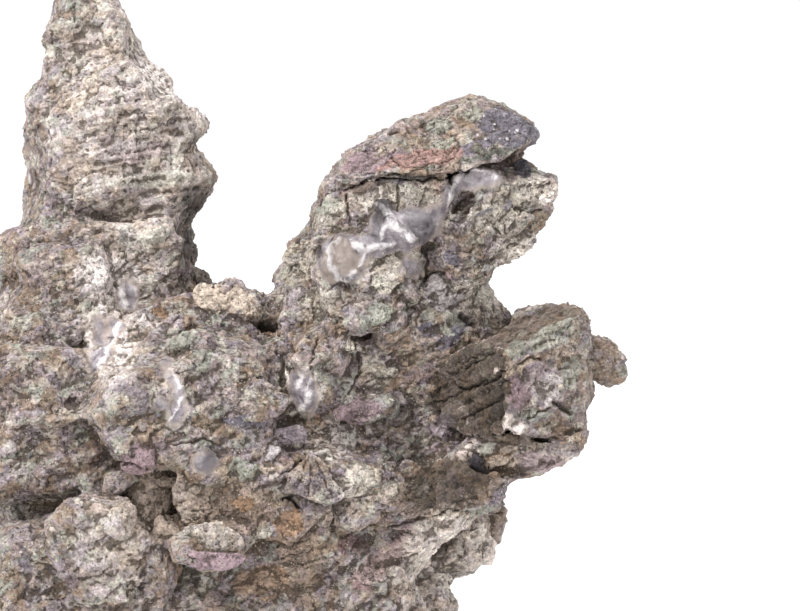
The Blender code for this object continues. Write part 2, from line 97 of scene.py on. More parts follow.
# Flat faces of the front: an outline in the photograph, points (column, row, depth) of its plane, how
# far in front of the plane the skin is cut back to it, and how thick a slab fills in behind it
BLOCK_SIDE_PLANE = [(505, 352, -53), (505, 425, -54), (434, 400, -27), (450, 352, -29)]
BLOCK_TOP_PLANE = [(505, 352, -53), (582, 314, -43), (527, 313, -27), (490, 338, -37)]
BLOCK_END_PLANE = [(505, 352, -53), (582, 314, -43), (586, 390, -43), (508, 425, -55)]
WEDGE_PLANE = [(462, 446, -41), (560, 444, -50), (580, 440, -47), (545, 470, -44), (470, 474, -41)]
FACES = {
    "block_side": (
        [(505, 351), (506, 432), (484, 436), (456, 432), (438, 420), (430, 404), (436, 372), (468, 344)],
        BLOCK_SIDE_PLANE, 16, 14),
    "block_top": (
        [(505, 352), (583, 313), (578, 309), (560, 307), (540, 309), (522, 316), (500, 334), (480, 346)],
        BLOCK_TOP_PLANE, 12, 12),
    "block_end": (
        [(505, 352), (583, 313), (588, 322), (588, 394), (584, 436), (552, 438), (536, 434), (520, 435),
         (508, 428)],
        BLOCK_END_PLANE, 12, 12),
    "block_right": ([(561, 392), (588, 392), (584, 430), (577, 456), (560, 454)], BLOCK_END_PLANE, 10, 12),
    "cap": (
        [(334, 182), (350, 152), (400, 122), (440, 107), (480, 100), (515, 114), (530, 132), (522, 146),
         (500, 160), (462, 168), (448, 173), (423, 176), (400, 173), (372, 175), (352, 184)],
        [(330, 180, -27), (400, 168, -29), (520, 150, -25), (470, 98, -13), (400, 122, -16),
         (528, 130, -17)], 8, 6),
    "band": (
        [(318, 214), (326, 198), (350, 183), (364, 180), (376, 175), (392, 177), (405, 175), (416, 178),
         (428, 176), (447, 174), (452, 196), (436, 224), (395, 220), (352, 236), (312, 250)],
        [(352, 184, -26), (437, 184, -25), (434, 218, -28), (312, 226, -22)], 6, 10),
    "prong_face": (
        [(455, 240), (474, 204), (512, 188), (553, 178), (553, 212), (520, 250), (494, 264), (462, 268)],
        [(455, 240, -27), (500, 190, -24), (553, 180, -15), (530, 250, -17), (462, 266, -25)], 6, 6),
    "wedge": (
        [(462, 444), (480, 435), (500, 433), (507, 439), (519, 440), (528, 436), (536, 441), (550, 441),
         (558, 437), (587, 432), (580, 452), (545, 470), (510, 478), (470, 474)],
        WEDGE_PLANE, 8, 12),
    "fan": (
        [(283, 493), (291, 475), (303, 459), (311, 448), (321, 461), (333, 477), (347, 491), (345, 500),
         (332, 506), (318, 504), (300, 494)],
        [(311, 448, -39), (283, 493, -43), (347, 496, -42), (318, 504, -44)], 6, 6),
    "under_lump": (
        [(178, 470), (215, 478), (262, 474), (296, 458), (324, 448), (340, 462), (338, 490), (318, 520),
         (290, 545), (250, 538), (215, 520), (186, 524), (172, 500)],
        [(190, 480, -43), (290, 480, -39), (190, 530, -46), (290, 530, -40), (330, 470, -37)], 0, 12),
}
# Outlines in the photograph that the stone is cut back from, through its whole depth
TRIMS = [
    [(137, 34), (141, 52), (146, 60), (158, 68), (168, 76), (172, 84), (172, 92), (179, 100), (186, 105),
     (200, 106), (196, 70), (160, 30)],
    [(534, 166), (545, 172), (556, 174), (557, 188), (551, 206), (538, 224), (530, 244), (546, 244),
     (575, 216), (575, 164)],
    [(199, 246), (199, 254), (194, 262), (192, 267), (199, 271), (207, 275), (222, 272), (222, 242)],
    [(511, 260), (503, 264), (494, 268), (490, 278), (485, 285), (486, 289), (493, 294), (500, 302),
     (520, 300), (520, 258)],
    [(240, 278), (242, 285), (252, 290), (263, 294), (271, 297), (278, 288), (270, 276)],
    [(594, 393), (590, 400), (586, 408), (584, 416), (580, 428), (577, 442), (573, 457), (600, 457),
     (600, 393)],
    [(538, 307), (546, 304), (560, 307), (567, 303), (574, 307), (583, 311), (590, 298), (560, 290),
     (534, 298)],
]
TRIM_FRONT, TRIM_BACK = -75, 75
FACE_FRAY = 2.2
FACE_STEP = 7.0

# Lumps and flakes fused into the front: place in the photograph, with a depth where it isn't on the
# skin, half width, height and depth in millimetres, the turn of the long side, how far the centre
# lies behind the skin, and the tint
LUMPS = {
    "mauve_flake": ((352, 412), (6.2, 3.2, 1.7), 22, 0.0, "mauve"),
    "nodule": ((335, 361), (5.4, 7.4, 3.6), 0, 1.4, "plain"),
    "nodule_crown": ((346, 347), (3.4, 2.6, 2.0), 10, 0.0, "cream"),
    "upper_nodule": ((300, 318), (3.0, 2.2, 2.0), 10, 0.6, "cream"),
    "saddle_lump": ((292, 301), (4.0, 3.0, 2.4), 10, 0.8, "milk"),
    "cream_lump": ((376, 360), (3.4, 3.0, 2.0), 50, 0.7, "cream"),
    "blue_chip": ((385, 372), (2.8, 2.0, 1.6), 20, 0.4, "slate"),
    "beige_lump": ((360, 508), (6.6, 4.6, 2.8), 10, 1.0, "plain"),
    "beige_brow": ((362, 484), (6.0, 4.4, 2.6), 10, 1.0, "plain"),
    "beige_lump_left": ((334, 530), (3.6, 3.0, 2.4), 0, 0.8, "plain"),
    "beige_lump_right": ((408, 478), (4.8, 4.0, 2.2), 20, 0.8, "plain"),
    "olive_pebble": ((378, 590), (2.8, 2.2, 2.4), 10, 0.4, "sage"),
    "cream_pebble": ((396, 578), (2.6, 2.8, 2.4), 0, 0.4, "cream"),
    "white_pebble": ((390, 607), (3.0, 1.8, 2.2), 0, 0.4, "milk"),
    "blue_pebble": ((396, 397), (2.4, 2.2, 1.4), 0, 0.3, "slate"),
    "peach_curl": ((411, 389), (2.4, 1.9, 1.5), 30, 0.3, "peach"),
    "crescent": ((442, 427), (4.6, 2.9, 1.8), 24, 0.6, "lavender"),
    "crescent_core": ((448, 426), (1.9, 1.2, 1.8), 24, -0.3, "peach"),
    "grey_facet": ((346, 446), (5.4, 5.0, 2.0), 0, 0.9, "slate"),
    "pale_facet": ((374, 446), (4.4, 3.0, 2.0), 14, 0.8, "plain"),
    "left_ridge": ((176, 334), (7.5, 2.4, 2.2), 34, 0.6, "plain"),
    "left_sage": ((190, 346), (5.2, 4.4, 2.2), 10, 0.6, "sage"),
    "left_cream": ((192, 372), (3.8, 2.8, 2.0), 10, 0.5, "cream"),
    "left_foot_patch": ((142, 458), (5.6, 3.6, 2.4), 8, 0.8, "maroon"),
    "left_foot_brow": ((158, 444), (3.8, 2.8, 2.0), 20, 0.6, "mauve"),
    "left_grey": ((128, 404), (5.6, 4.0, 1.8), 20, 0.9, "slate"),
    "left_shoulder": ((110, 376), (4.0, 3.0, 1.8), 10, 0.7, "plain"),
    "lump_brow": ((238, 330), (8.0, 3.2, 2.6), -14, 1.0, "plain"),
    "lump_cheek": ((254, 398), (7.2, 5.0, 2.4), 6, 1.2, "plain"),
    "lump_chin": ((278, 440), (5.6, 4.6, 2.4), 20, 1.0, "lavender"),
    "lump_ink": ((244, 418), (7.4, 3.0, 2.2), 4, 0.8, "slate"),
    "lump_glint": ((272, 452), (1.9, 1.5, 1.4), 40, 0.0, "milk"),
    "lump_jade": ((240, 467), (3.2, 3.6, 2.0), 0, 0.6, "sage"),
    "lump_tan": ((268, 470), (3.2, 2.4, 1.8), 0, 0.6, "peach"),
    "lump_dark": ((252, 366), (4.4, 3.4, 2.0), 0, 0.8, "brown"),
    "peach_hump": ((232, 300), (8.4, 4.2, 2.6), -12, 1.6, "plain"),
    "ochre_chip": ((160, 313), (2.4, 2.0, 1.6), 0, 0.3, "rust"),
    "bluish_chip": ((143, 322), (2.6, 2.0, 1.6), 0, 0.3, "milk"),
    "block_boss": ((546, 392), (4.2, 3.4, 1.2), 10, 0.4, "plain"),
    "block_tooth": ((519, 427), (2.4, 1.6, 1.6), 0, 0.2, "milk"),
    "right_chip": ((546, 436), (1.8, 1.6, 2.0), 0, -0.4, "peach"),
    "gap_back": ((526, 438, -44), (9.0, 2.6, 3.0), 0, 0.0, "brown"),
    "knob_top": ((609, 352), (4.6, 4.6, 3.6), 0, 2.8, "plain"),
    "rear_right": ((494, 528), (4.0, 5.4, 3.6), 0, 2.4, "plain"),
    "rear_corner": ((496, 494), (4.6, 3.6, 3.6), 0, 2.6, "slate"),
    "rear_lump": ((470, 532), (3.6, 2.8, 2.4), 20, 0.6, "cream"),
    "rear_pale": ((484, 552), (3.2, 3.6, 2.6), 0, 1.0, "milk"),
    "rear_low": ((452, 556), (3.8, 2.8, 2.6), 30, 0.7, "plain"),
    "rear_foot": ((438, 580), (3.4, 3.2, 2.6), 0, 0.7, "sage"),
    "hollow_top": ((163, 479, -38), (7.4, 3.2, 4.0), 0, 0.0, "brown"),
    "gap_bridge": ((525, 437, -47), (1.8, 2.2, 2.6), 0, 0.0, "brown"),
    "block_lip": ((534, 425), (7.4, 1.9, 2.0), 4, 0.0, "cream"),
    "block_rim": ((544, 333), (10.4, 0.8, 1.2), 27, 0.0, "brown"),
    "block_spur": ((522, 314, -25), (3.0, 0.7, 2.0), 4, 0.0, "brown"),
    "wedge_boss": ((477, 462), (3.6, 3.2, 2.2), 30, 0.4, "slate"),
    "wedge_rim": ((503, 456), (4.6, 1.9, 1.8), 30, 0.2, "peach"),
    "teal_boss": ((376, 314), (5.0, 4.0, 2.2), 0, 0.9, "sage"),
    "bulge": ((380, 276), (5.6, 5.0, 2.6), 20, 1.0, "plain"),
    "bulge_low": ((400, 292), (4.6, 3.6, 2.2), 0, 0.9, "plain"),
    "spire_flank_boss": ((480, 298), (4.6, 4.2, 2.6), 20, -0.6, "sage"),
    "spire_left_boss": ((300, 254), (4.0, 3.4, 2.2), 0, 0.8, "plain"),
    "prong_boss": ((512, 224), (5.4, 3.8, 2.4), 30, 1.0, "cream"),
    "prong_tip": ((546, 190), (2.6, 3.4, 1.8), 0, 0.5, "cream"),
    "prong_base": ((514, 250), (5.4, 2.0, 1.8), 30, 0.4, "cream"),
    "prong_clast": ((523, 169), (2.2, 2.4, 2.2), 20, 0.3, "dark"),
    "cap_edge": ((424, 160), (9.0, 1.9, 1.6), 8, 0.0, "salmon"),
    "cap_knob": ((440, 130), (3.0, 2.6, 1.6), 0, 0.4, "plain"),
    "dark_boss": ((432, 296), (3.8, 4.6, 1.8), -20, 0.6, "slate"),
    "dark_glint": ((429, 301), (1.7, 0.6, 1.0), 12, -0.2, "milk"),
    "cap_bridge_left": ((362, 183, -25), (2.6, 1.8, 2.4), 14, 0.0, "brown"),
    "cap_bridge_right": ((434, 180, -24), (2.4, 1.6, 2.4), 0, 0.0, "plain"),
    "hollow_wall": ((152, 502, -36), (10.0, 9.0, 7.0), 0, 0.0, "brown"),
    "hollow_brow": ((118, 482, -40), (6.5, 5.0, 6.0), 0, 0.0, "plain"),
    "hollow_foot": ((168, 536, -43), (7.0, 5.0, 6.0), 0, 0.0, "brown"),
    "between_feet": ((158, 575, -48), (7.5, 13.0, 6.0), 0, 0.0, "plain"),
    "foot_brow": ((212, 540), (7.4, 4.4, 3.0), 0, 1.2, "cream"),
    "foot_band": ((212, 560), (7.4, 2.6, 2.4), 8, 0.6, "mauve"),
    "rust_lump": ((262, 583), (7.4, 4.6, 2.6), 6, 1.0, "plain"),
}

# Cracks and shadow gaps: the line each follows in the photograph, its half width and its depth
CRACKS = [
    ([(340, 189), (352, 187), (366, 182), (379, 178), (403, 178), (423, 182), (431, 178), (447, 178),
      (458, 172)], 1.6, 1.6),
    ([(362, 176), (380, 172), (398, 174), (424, 170), (440, 166)], 1.3, 0.7),
    ([(414, 226), (426, 230)], 11.0, 1.3),
    ([(346, 194), (347, 212), (352, 224)], 2.2, 1.0),
    ([(397, 184), (396, 211)], 1.8, 0.8),
    ([(376, 201), (400, 203)], 1.4, 0.5),
    ([(424, 246), (428, 262), (427, 286)], 2.2, 1.4),
    ([(541, 190), (549, 200)], 1.6, 0.8),
    ([(505, 222), (506, 234)], 1.6, 0.6),
    ([(504, 436), (519, 437)], 3.0, 2.4),
    ([(531, 438), (549, 440)], 3.0, 2.4),
    ([(526, 378), (550, 390)], 15.0, 1.2),
    ([(311, 452), (296, 488)], 1.8, 0.5),
    ([(312, 454), (310, 498)], 1.8, 0.5),
    ([(314, 454), (332, 496)], 1.8, 0.5),
    ([(283, 501), (292, 497), (300, 508)], 3.0, 2.0),
    ([(389, 528), (455, 511), (502, 514)], 2.4, 1.4),
    ([(120, 462), (146, 472), (174, 473)], 3.0, 1.4),
    ([(176, 444), (206, 438), (216, 444)], 2.4, 1.0),
    ([(262, 330), (276, 326)], 5.0, 3.0),
    ([(462, 318), (474, 324)], 5.0, 2.0),
    ([(556, 404), (572, 411)], 4.5, 2.2),
    ([(340, 424), (362, 430), (384, 423)], 3.0, 1.8),
    ([(312, 386), (311, 360), (318, 338)], 2.2, 0.9),
    ([(350, 392), (360, 372), (357, 344)], 2.2, 0.9),
    ([(282, 384), (284, 366), (276, 350)], 3.0, 1.4),
    ([(284, 474), (300, 460), (306, 452)], 2.4, 1.0),
    ([(455, 208), (470, 196)], 6.0, 2.2),
    ([(440, 402), (470, 388), (505, 372)], 2.0, 0.8),
    ([(448, 374), (484, 352), (540, 322)], 1.8, 0.8),
    ([(436, 390), (470, 366), (506, 344)], 1.6, 0.6),
    ([(460, 420), (484, 408), (504, 400)], 2.4, 1.0),
    ([(520, 362), (530, 358), (541, 361)], 3.0, 1.1),
    ([(528, 418), (545, 410), (560, 408)], 2.0, 0.9),
    ([(454, 384), (462, 390), (478, 386)], 3.0, 1.4),
    ([(391, 133), (397, 131)], 3.4, 1.6),
    ([(449, 109), (456, 107)], 2.6, 0.9),
    ([(419, 124), (424, 122)], 2.6, 0.9),
    ([(396, 150), (394, 158), (400, 165), (420, 168), (440, 163), (456, 156)], 1.3, 0.7),
    ([(538, 195), (546, 201), (554, 197)], 1.8, 0.9),
    ([(516, 207), (524, 209), (520, 214)], 2.4, 1.0),
    ([(533, 214), (541, 211)], 1.8, 0.8),
    ([(494, 226), (500, 233)], 2.2, 0.9),
    ([(476, 278), (472, 286)], 2.0, 0.9),
    ([(484, 274), (486, 280)], 2.4, 0.9),
    ([(472, 246), (490, 246), (484, 257)], 1.6, 0.6),
    ([(509, 247), (516, 243), (526, 245)], 1.8, 0.7),
    ([(447, 220), (460, 222)], 1.6, 0.6),
    ([(482, 387), (492, 380), (500, 378)], 3.0, 1.4),
    ([(500, 372), (502, 396), (500, 420)], 3.4, 1.2),
]


def photo_place(points):
    """Where points fall in the photograph: columns, rows and depths, by perspective from the eye."""
    away = points - EYE
    depth = away @ VIEW_ALONG
    column = PHOTO_WIDTH / 2 + PIXELS_PER_SLOPE * (away @ VIEW_RIGHT) / depth
    row = PHOTO_HEIGHT / 2 - PIXELS_PER_SLOPE * (away @ VIEW_UP) / depth
    return column, row, depth


def bedding_axes():
    """Rows of unit vectors: along the beds to the right, along them to the back, and across them."""
    dip, lean = BEDDING_DIP, BEDDING_LEAN
    right = np.array([math.cos(dip), 0.0, math.sin(dip)])
    back = np.array([-math.sin(dip) * math.sin(lean), math.cos(lean), math.cos(dip) * math.sin(lean)])
    across = np.cross(right, back)
    return np.stack([right, back, across / np.linalg.norm(across)])


BEDDING = bedding_axes()


def scatter(corner, seed, count):
    """Seeded numbers from 0 to 1, count of them for each whole-number corner of space."""
    key = corner.astype(np.int64) @ np.array([73856093, 19349663, 83492791]) + seed * 104729
    columns = []
    for place in range(count):
        mixed = (key + place * 15485863) & 0x7FFFFFFF
        mixed = ((mixed ^ (mixed >> 13)) * 1274126177) & 0x7FFFFFFF
        mixed = ((mixed ^ (mixed >> 16)) * 1103515245) & 0x7FFFFFFF
        columns.append((mixed >> 7 & 0xFFFF) / 65535.0)
    return np.stack(columns, axis=1)


def swell(points, size, seed):
    """Smooth noise from -1 to 1: seeded corner values of a grid, blended by cubic steps."""
    scaled = points / size
    corner = np.floor(scaled)
    share = scaled - corner
    share = share * share * (3 - 2 * share)
    total = np.zeros(len(points))
    for step in itertools.product((0, 1), repeat=3):
        weight = np.prod(np.where(step, share, 1 - share), axis=1)
        total += weight * (scatter(corner + step, seed, 1)[:, 0] * 2 - 1)
    return total


def rough_swell(points, size, seed, octaves):
    """Smooth noise added to finer and weaker copies of itself, each half the size and height."""
    return sum(swell(points, size / 2**k, seed + k) / 2**k for k in range(octaves))


def warped(points, size, reach, seed):
    """Points moved by smooth noise, up to the reach along each axis."""
    return points + reach * np.stack([swell(points, size, seed + k) for k in range(3)], axis=1)


def broken(points, size, seed):
    """Space broken into fragments about one jittered seed in each cell of a grid.

    Only the eight cells nearest a point are looked at. For each point: the distance to its own seed,
    how much further the next seed is (0 on the joint between two fragments), the vector from its
    seed, and five seeded traits of its fragment.
    """
    scaled = points / size
    corner = np.floor(scaled - 0.5)
    first = np.full(len(points), 9.0)
    second = first.copy()
    owner = corner.copy()
    offset = np.zeros_like(points)
    for step in itertools.product((0, 1), repeat=3):
        there = corner + step
        gap = scaled - there - (0.15 + 0.7 * scatter(there, seed, 3))
        distance = np.einsum("ij,ij->i", gap, gap)
        closer = distance < first
        second = np.where(closer, first, np.minimum(second, distance))
        first = np.where(closer, distance, first)
        owner[closer] = there[closer]
        offset[closer] = gap[closer]
    first = np.sqrt(first)
    return first, np.sqrt(second) - first, offset, scatter(owner, seed + 1, 5)


def facets(points, size, seed, tilt=1.0):
    """Flat chips: each fragment is a plane with its own height and tilt. Also 1 on the joints, else 0."""
    _, joint, offset, traits = broken(points, size, seed)
    height = traits[:, 3] * 2 - 1 + tilt * np.einsum("ij,ij->i", traits[:, :3] * 2 - 1, offset)
    return height, np.clip(1 - joint / 0.14, 0, 1)


def step_up(values, low, high):
    """0 below low and 1 above high, with a smooth cubic rise between."""
    share = np.clip((values - low) / (high - low), 0, 1)
    return share * share * (3 - 2 * share)


def read_vectors(collection, name):
    flat = np.empty(len(collection) * 3, np.float32)
    collection.foreach_get(name, flat)
    return flat.reshape(-1, 3).astype(float)


def read_points(mesh):
    return read_vectors(mesh.vertices, "co") / MM


def read_normals(mesh):
    return read_vectors(mesh.vertex_normals, "vector")


def write_points(mesh, points):
    mesh.vertices.foreach_set("co", (points * MM).astype(np.float32).ravel())
    mesh.update()


def read_edges(mesh):
    flat = np.empty(len(mesh.edges) * 2, np.int32)
    mesh.edges.foreach_get("vertices", flat)
    return flat.reshape(-1, 2)


def write_attribute(mesh, name, values):
    layer = mesh.attributes.new(name, "FLOAT", "POINT")
    layer.data.foreach_set("value", values.astype(np.float32))


def neighbour_mean(values, edges):
    """The mean of each point's neighbours, for columns of values."""
    count = len(values)
    degree = np.bincount(edges.ravel(), minlength=count)
    columns = []
    for column in values.T:
        total = np.bincount(edges[:, 0], weights=column[edges[:, 1]], minlength=count)
        total += np.bincount(edges[:, 1], weights=column[edges[:, 0]], minlength=count)
        columns.append(total / degree)
    return np.stack(columns, axis=1)


def hollowness(points, normals, edges, passes):
    """How far the skin's smoothed copy stands proud of it: positive in hollows, negative on edges."""
    smooth = points
    for _ in range(passes):
        smooth = neighbour_mean(smooth, edges)
    return np.einsum("ij,ij->i", smooth - points, normals)


def apply_modifier(piece, kind, **settings):
    """Adds one modifier, keeps its result as the piece's mesh and takes the modifier off."""
    modifier = piece.modifiers.new(kind, kind)
    for setting, value in settings.items():
        setattr(modifier, setting, value)
    bpy.context.view_layer.update()
    graph = bpy.context.evaluated_depsgraph_get()
    shaped = bpy.data.meshes.new_from_object(piece.evaluated_get(graph))
    piece.modifiers.clear()
    before, piece.data = piece.data, shaped
    bpy.data.meshes.remove(before)


def loose_piece(name, mesh):
    """An object that helps to make the pieces and is removed again."""
    piece = bpy.data.objects.new(name, mesh)
    bpy.context.scene.collection.objects.link(piece)
    return piece


def new_piece(name, mesh, material):
    piece = bpy.data.objects.new(name, mesh)
    bpy.context.scene.collection.objects.link(piece)
    mesh.materials.clear()
    mesh.materials.append(material)
    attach(piece, "root")
    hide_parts("stone")
    return piece


class Wire:
    """A socket of a node tree. Arithmetic on it adds Math nodes."""

    def __init__(self, tree, socket):
        self.tree = tree
        self.socket = socket

    def math(self, operation, *values):
        node = self.tree.nodes.new("ShaderNodeMath")
        node.operation = operation
        for slot, value in zip(node.inputs, values):
            if isinstance(value, Wire):
                self.tree.links.new(value.socket, slot)
            else:
                slot.default_value = value
        return Wire(self.tree, node.outputs[0])

    def __add__(self, other):
        return self.math("ADD", self, other)

    def __radd__(self, other):
        return self.math("ADD", other, self)

    def __sub__(self, other):
        return self.math("SUBTRACT", self, other)

    def __rsub__(self, other):
        return self.math("SUBTRACT", other, self)

    def __mul__(self, other):
        return self.math("MULTIPLY", self, other)

    def __rmul__(self, other):
        return self.math("MULTIPLY", other, self)

    def __truediv__(self, other):
        return self.math("DIVIDE", self, other)

    def __pow__(self, other):
        return self.math("POWER", self, other)

    def rise(self, low, high):
        """0 below low and 1 above high, with a smooth rise between."""
        node = self.tree.nodes.new("ShaderNodeMapRange")
        node.interpolation_type = "SMOOTHSTEP"
        self.tree.links.new(self.socket, node.inputs["Value"])
        node.inputs["From Min"].default_value = low
        node.inputs["From Max"].default_value = high
        return Wire(self.tree, node.outputs["Result"])


class Finish:
    """A material and the nodes that make it."""

    def __init__(self, name):
        self.material = bpy.data.materials.new(name)
        self.material.use_nodes = True
        self.tree = self.material.node_tree
        self.surface = self.tree.nodes["Principled BSDF"]

    def node(self, kind, settings=None, sockets=None, out=0):
        """Adds a node: its settings first, a ramp's stops among them, then its sockets' values or links."""
        node = self.tree.nodes.new(kind)
        for name, value in (settings or {}).items():
            if name == "stops":
                ramp = node.color_ramp.elements
                while len(ramp) < len(value):
                    ramp.new(0.5)
                for element, (place, colour) in zip(ramp, value):
                    element.position = place
                    element.color = (*colour, 1.0)
            else:
                setattr(node, name, value)
        for name, value in (sockets or {}).items():
            self.feed(node.inputs[name], value)
        return Wire(self.tree, node.outputs[out])

    def feed(self, socket, value):
        if isinstance(value, Wire):
            self.tree.links.new(value.socket, socket)
        else:
            socket.default_value = value

    def places(self):
        """The piece's own coordinates in millimetres."""
        spot = self.node("ShaderNodeTexCoord", out="Object")
        return self.node("ShaderNodeVectorMath", {"operation": "SCALE"}, {"Vector": spot, "Scale": 1 / MM})

    def laid(self, places, squeeze):
        """Places turned to lie with the beds, then squeezed across them, so patterns come out flat."""
        return self.node(
            "ShaderNodeMapping",
            {"vector_type": "TEXTURE"},
            {"Vector": places, "Rotation": (BEDDING_LEAN, -BEDDING_DIP, 0), "Scale": (1, 1, 1 / squeeze)},
        )

    def noise(self, places, size, detail=3.0, roughness=0.55, distortion=0.0):
        return self.node(
            "ShaderNodeTexNoise",
            {"noise_dimensions": "3D"},
            {"Vector": places, "Scale": 1 / size, "Detail": detail, "Roughness": roughness,
             "Distortion": distortion},
        )

    def grains(self, places, size, feature="F1", out="Distance", jitter=1.0):
        settings = {"voronoi_dimensions": "3D", "feature": feature}
        return self.node(
            "ShaderNodeTexVoronoi", settings, {"Vector": places, "Scale": 1 / size, "Randomness": jitter}, out
        )

    def facets(self, places, size):
        """Tilted flat cells: each has its own height and slope, as a share of the cell size. Also its tone."""
        tint = self.grains(places, size, out="Color")
        centre = Wire(self.tree, tint.socket.node.outputs["Position"])
        slope = self.node("ShaderNodeVectorMath", {"operation": "SUBTRACT"}, {0: tint, 1: (0.5, 0.5, 0.5)})
        local = self.node("ShaderNodeVectorMath", {"operation": "SUBTRACT"}, {0: places, 1: centre})
        tilt = self.node("ShaderNodeVectorMath", {"operation": "DOT_PRODUCT"}, {0: slope, 1: local}, "Value")
        tone = self.separate(tint, "Red")
        return tilt / size + tone * 0.4, tone

    def shifted(self, places, size, reach):
        """Places moved about by noise, which frays the edges of a pattern that reads them."""
        drift = self.node(
            "ShaderNodeTexNoise", {"noise_dimensions": "3D"},
            {"Vector": places, "Scale": 1 / size, "Detail": 2.0}, "Color"
        )
        centred = self.node(
            "ShaderNodeVectorMath", {"operation": "SUBTRACT"}, {0: drift, 1: (0.5, 0.5, 0.5)}
        )
        reached = self.node("ShaderNodeVectorMath", {"operation": "SCALE"}, {"Vector": centred, "Scale": reach})
        return self.node("ShaderNodeVectorMath", {"operation": "ADD"}, {0: places, 1: reached})

    def blend(self, share, under, over, mode="MIX"):
        """One colour over another: a share of 0 gives the first and 1 the second."""
        sockets = {0: share, 6: self.colour(under), 7: self.colour(over)}
        return self.node("ShaderNodeMix", {"data_type": "RGBA", "blend_type": mode}, sockets, 2)

    def colour(self, value):
        return value if isinstance(value, Wire) else (*value, 1.0)

    def dimmed(self, colour, value):
        """A colour with all its parts times a value."""
        grey = self.node("ShaderNodeCombineColor", None, {"Red": value, "Green": value, "Blue": value})
        return self.blend(1.0, colour, grey, "MULTIPLY")

    def attribute(self, name, out="Fac"):
        return self.node("ShaderNodeAttribute", {"attribute_name": name}, out=out)

    def separate(self, wire, out):
        return self.node("ShaderNodeSeparateColor", None, {"Color": wire}, out)


# Colours of the rock's minerals, as the share of light that each sends back
CREAM = (0.41, 0.375, 0.315)
SAGE = (0.262, 0.270, 0.228)
LILAC = (0.245, 0.203, 0.232)
SLATE = (0.115, 0.105, 0.13)
SALMON = (0.262, 0.160, 0.140)
MAUVE = (0.22, 0.155, 0.17)
MAROON = (0.19, 0.115, 0.12)
RUST = (0.27, 0.16, 0.09)
MILK = (0.46, 0.42, 0.43)
PEACH = (0.40, 0.32, 0.25)
BROWN = (0.200, 0.138, 0.092)
PIT = (0.045, 0.035, 0.03)
FLECK = (0.56, 0.51, 0.43)
# Pale rock, and painted light where the pale patches blend towards it
PALE_AND_PAINTED_LIGHT = (0.60, 0.54, 0.49)
PLAIN = (0.25, 0.21, 0.19)
WHITE = (0.66, 0.62, 0.62)
STAIN = (0.36, 0.29, 0.23)
SMOKE = (0.15, 0.128, 0.14)
QUARTZ_TONES = [
    (0.26, (0.110, 0.095, 0.105)), (0.42, (0.180, 0.158, 0.170)), (0.56, (0.260, 0.232, 0.248)),
    (0.74, (0.390, 0.360, 0.375)),
]
ROCK_TONES = [
    (0.18, (0.072, 0.052, 0.047)), (0.34, (0.140, 0.108, 0.102)), (0.50, (0.228, 0.182, 0.170)),
    (0.64, (0.320, 0.264, 0.244)), (0.80, (0.450, 0.392, 0.348)),
]

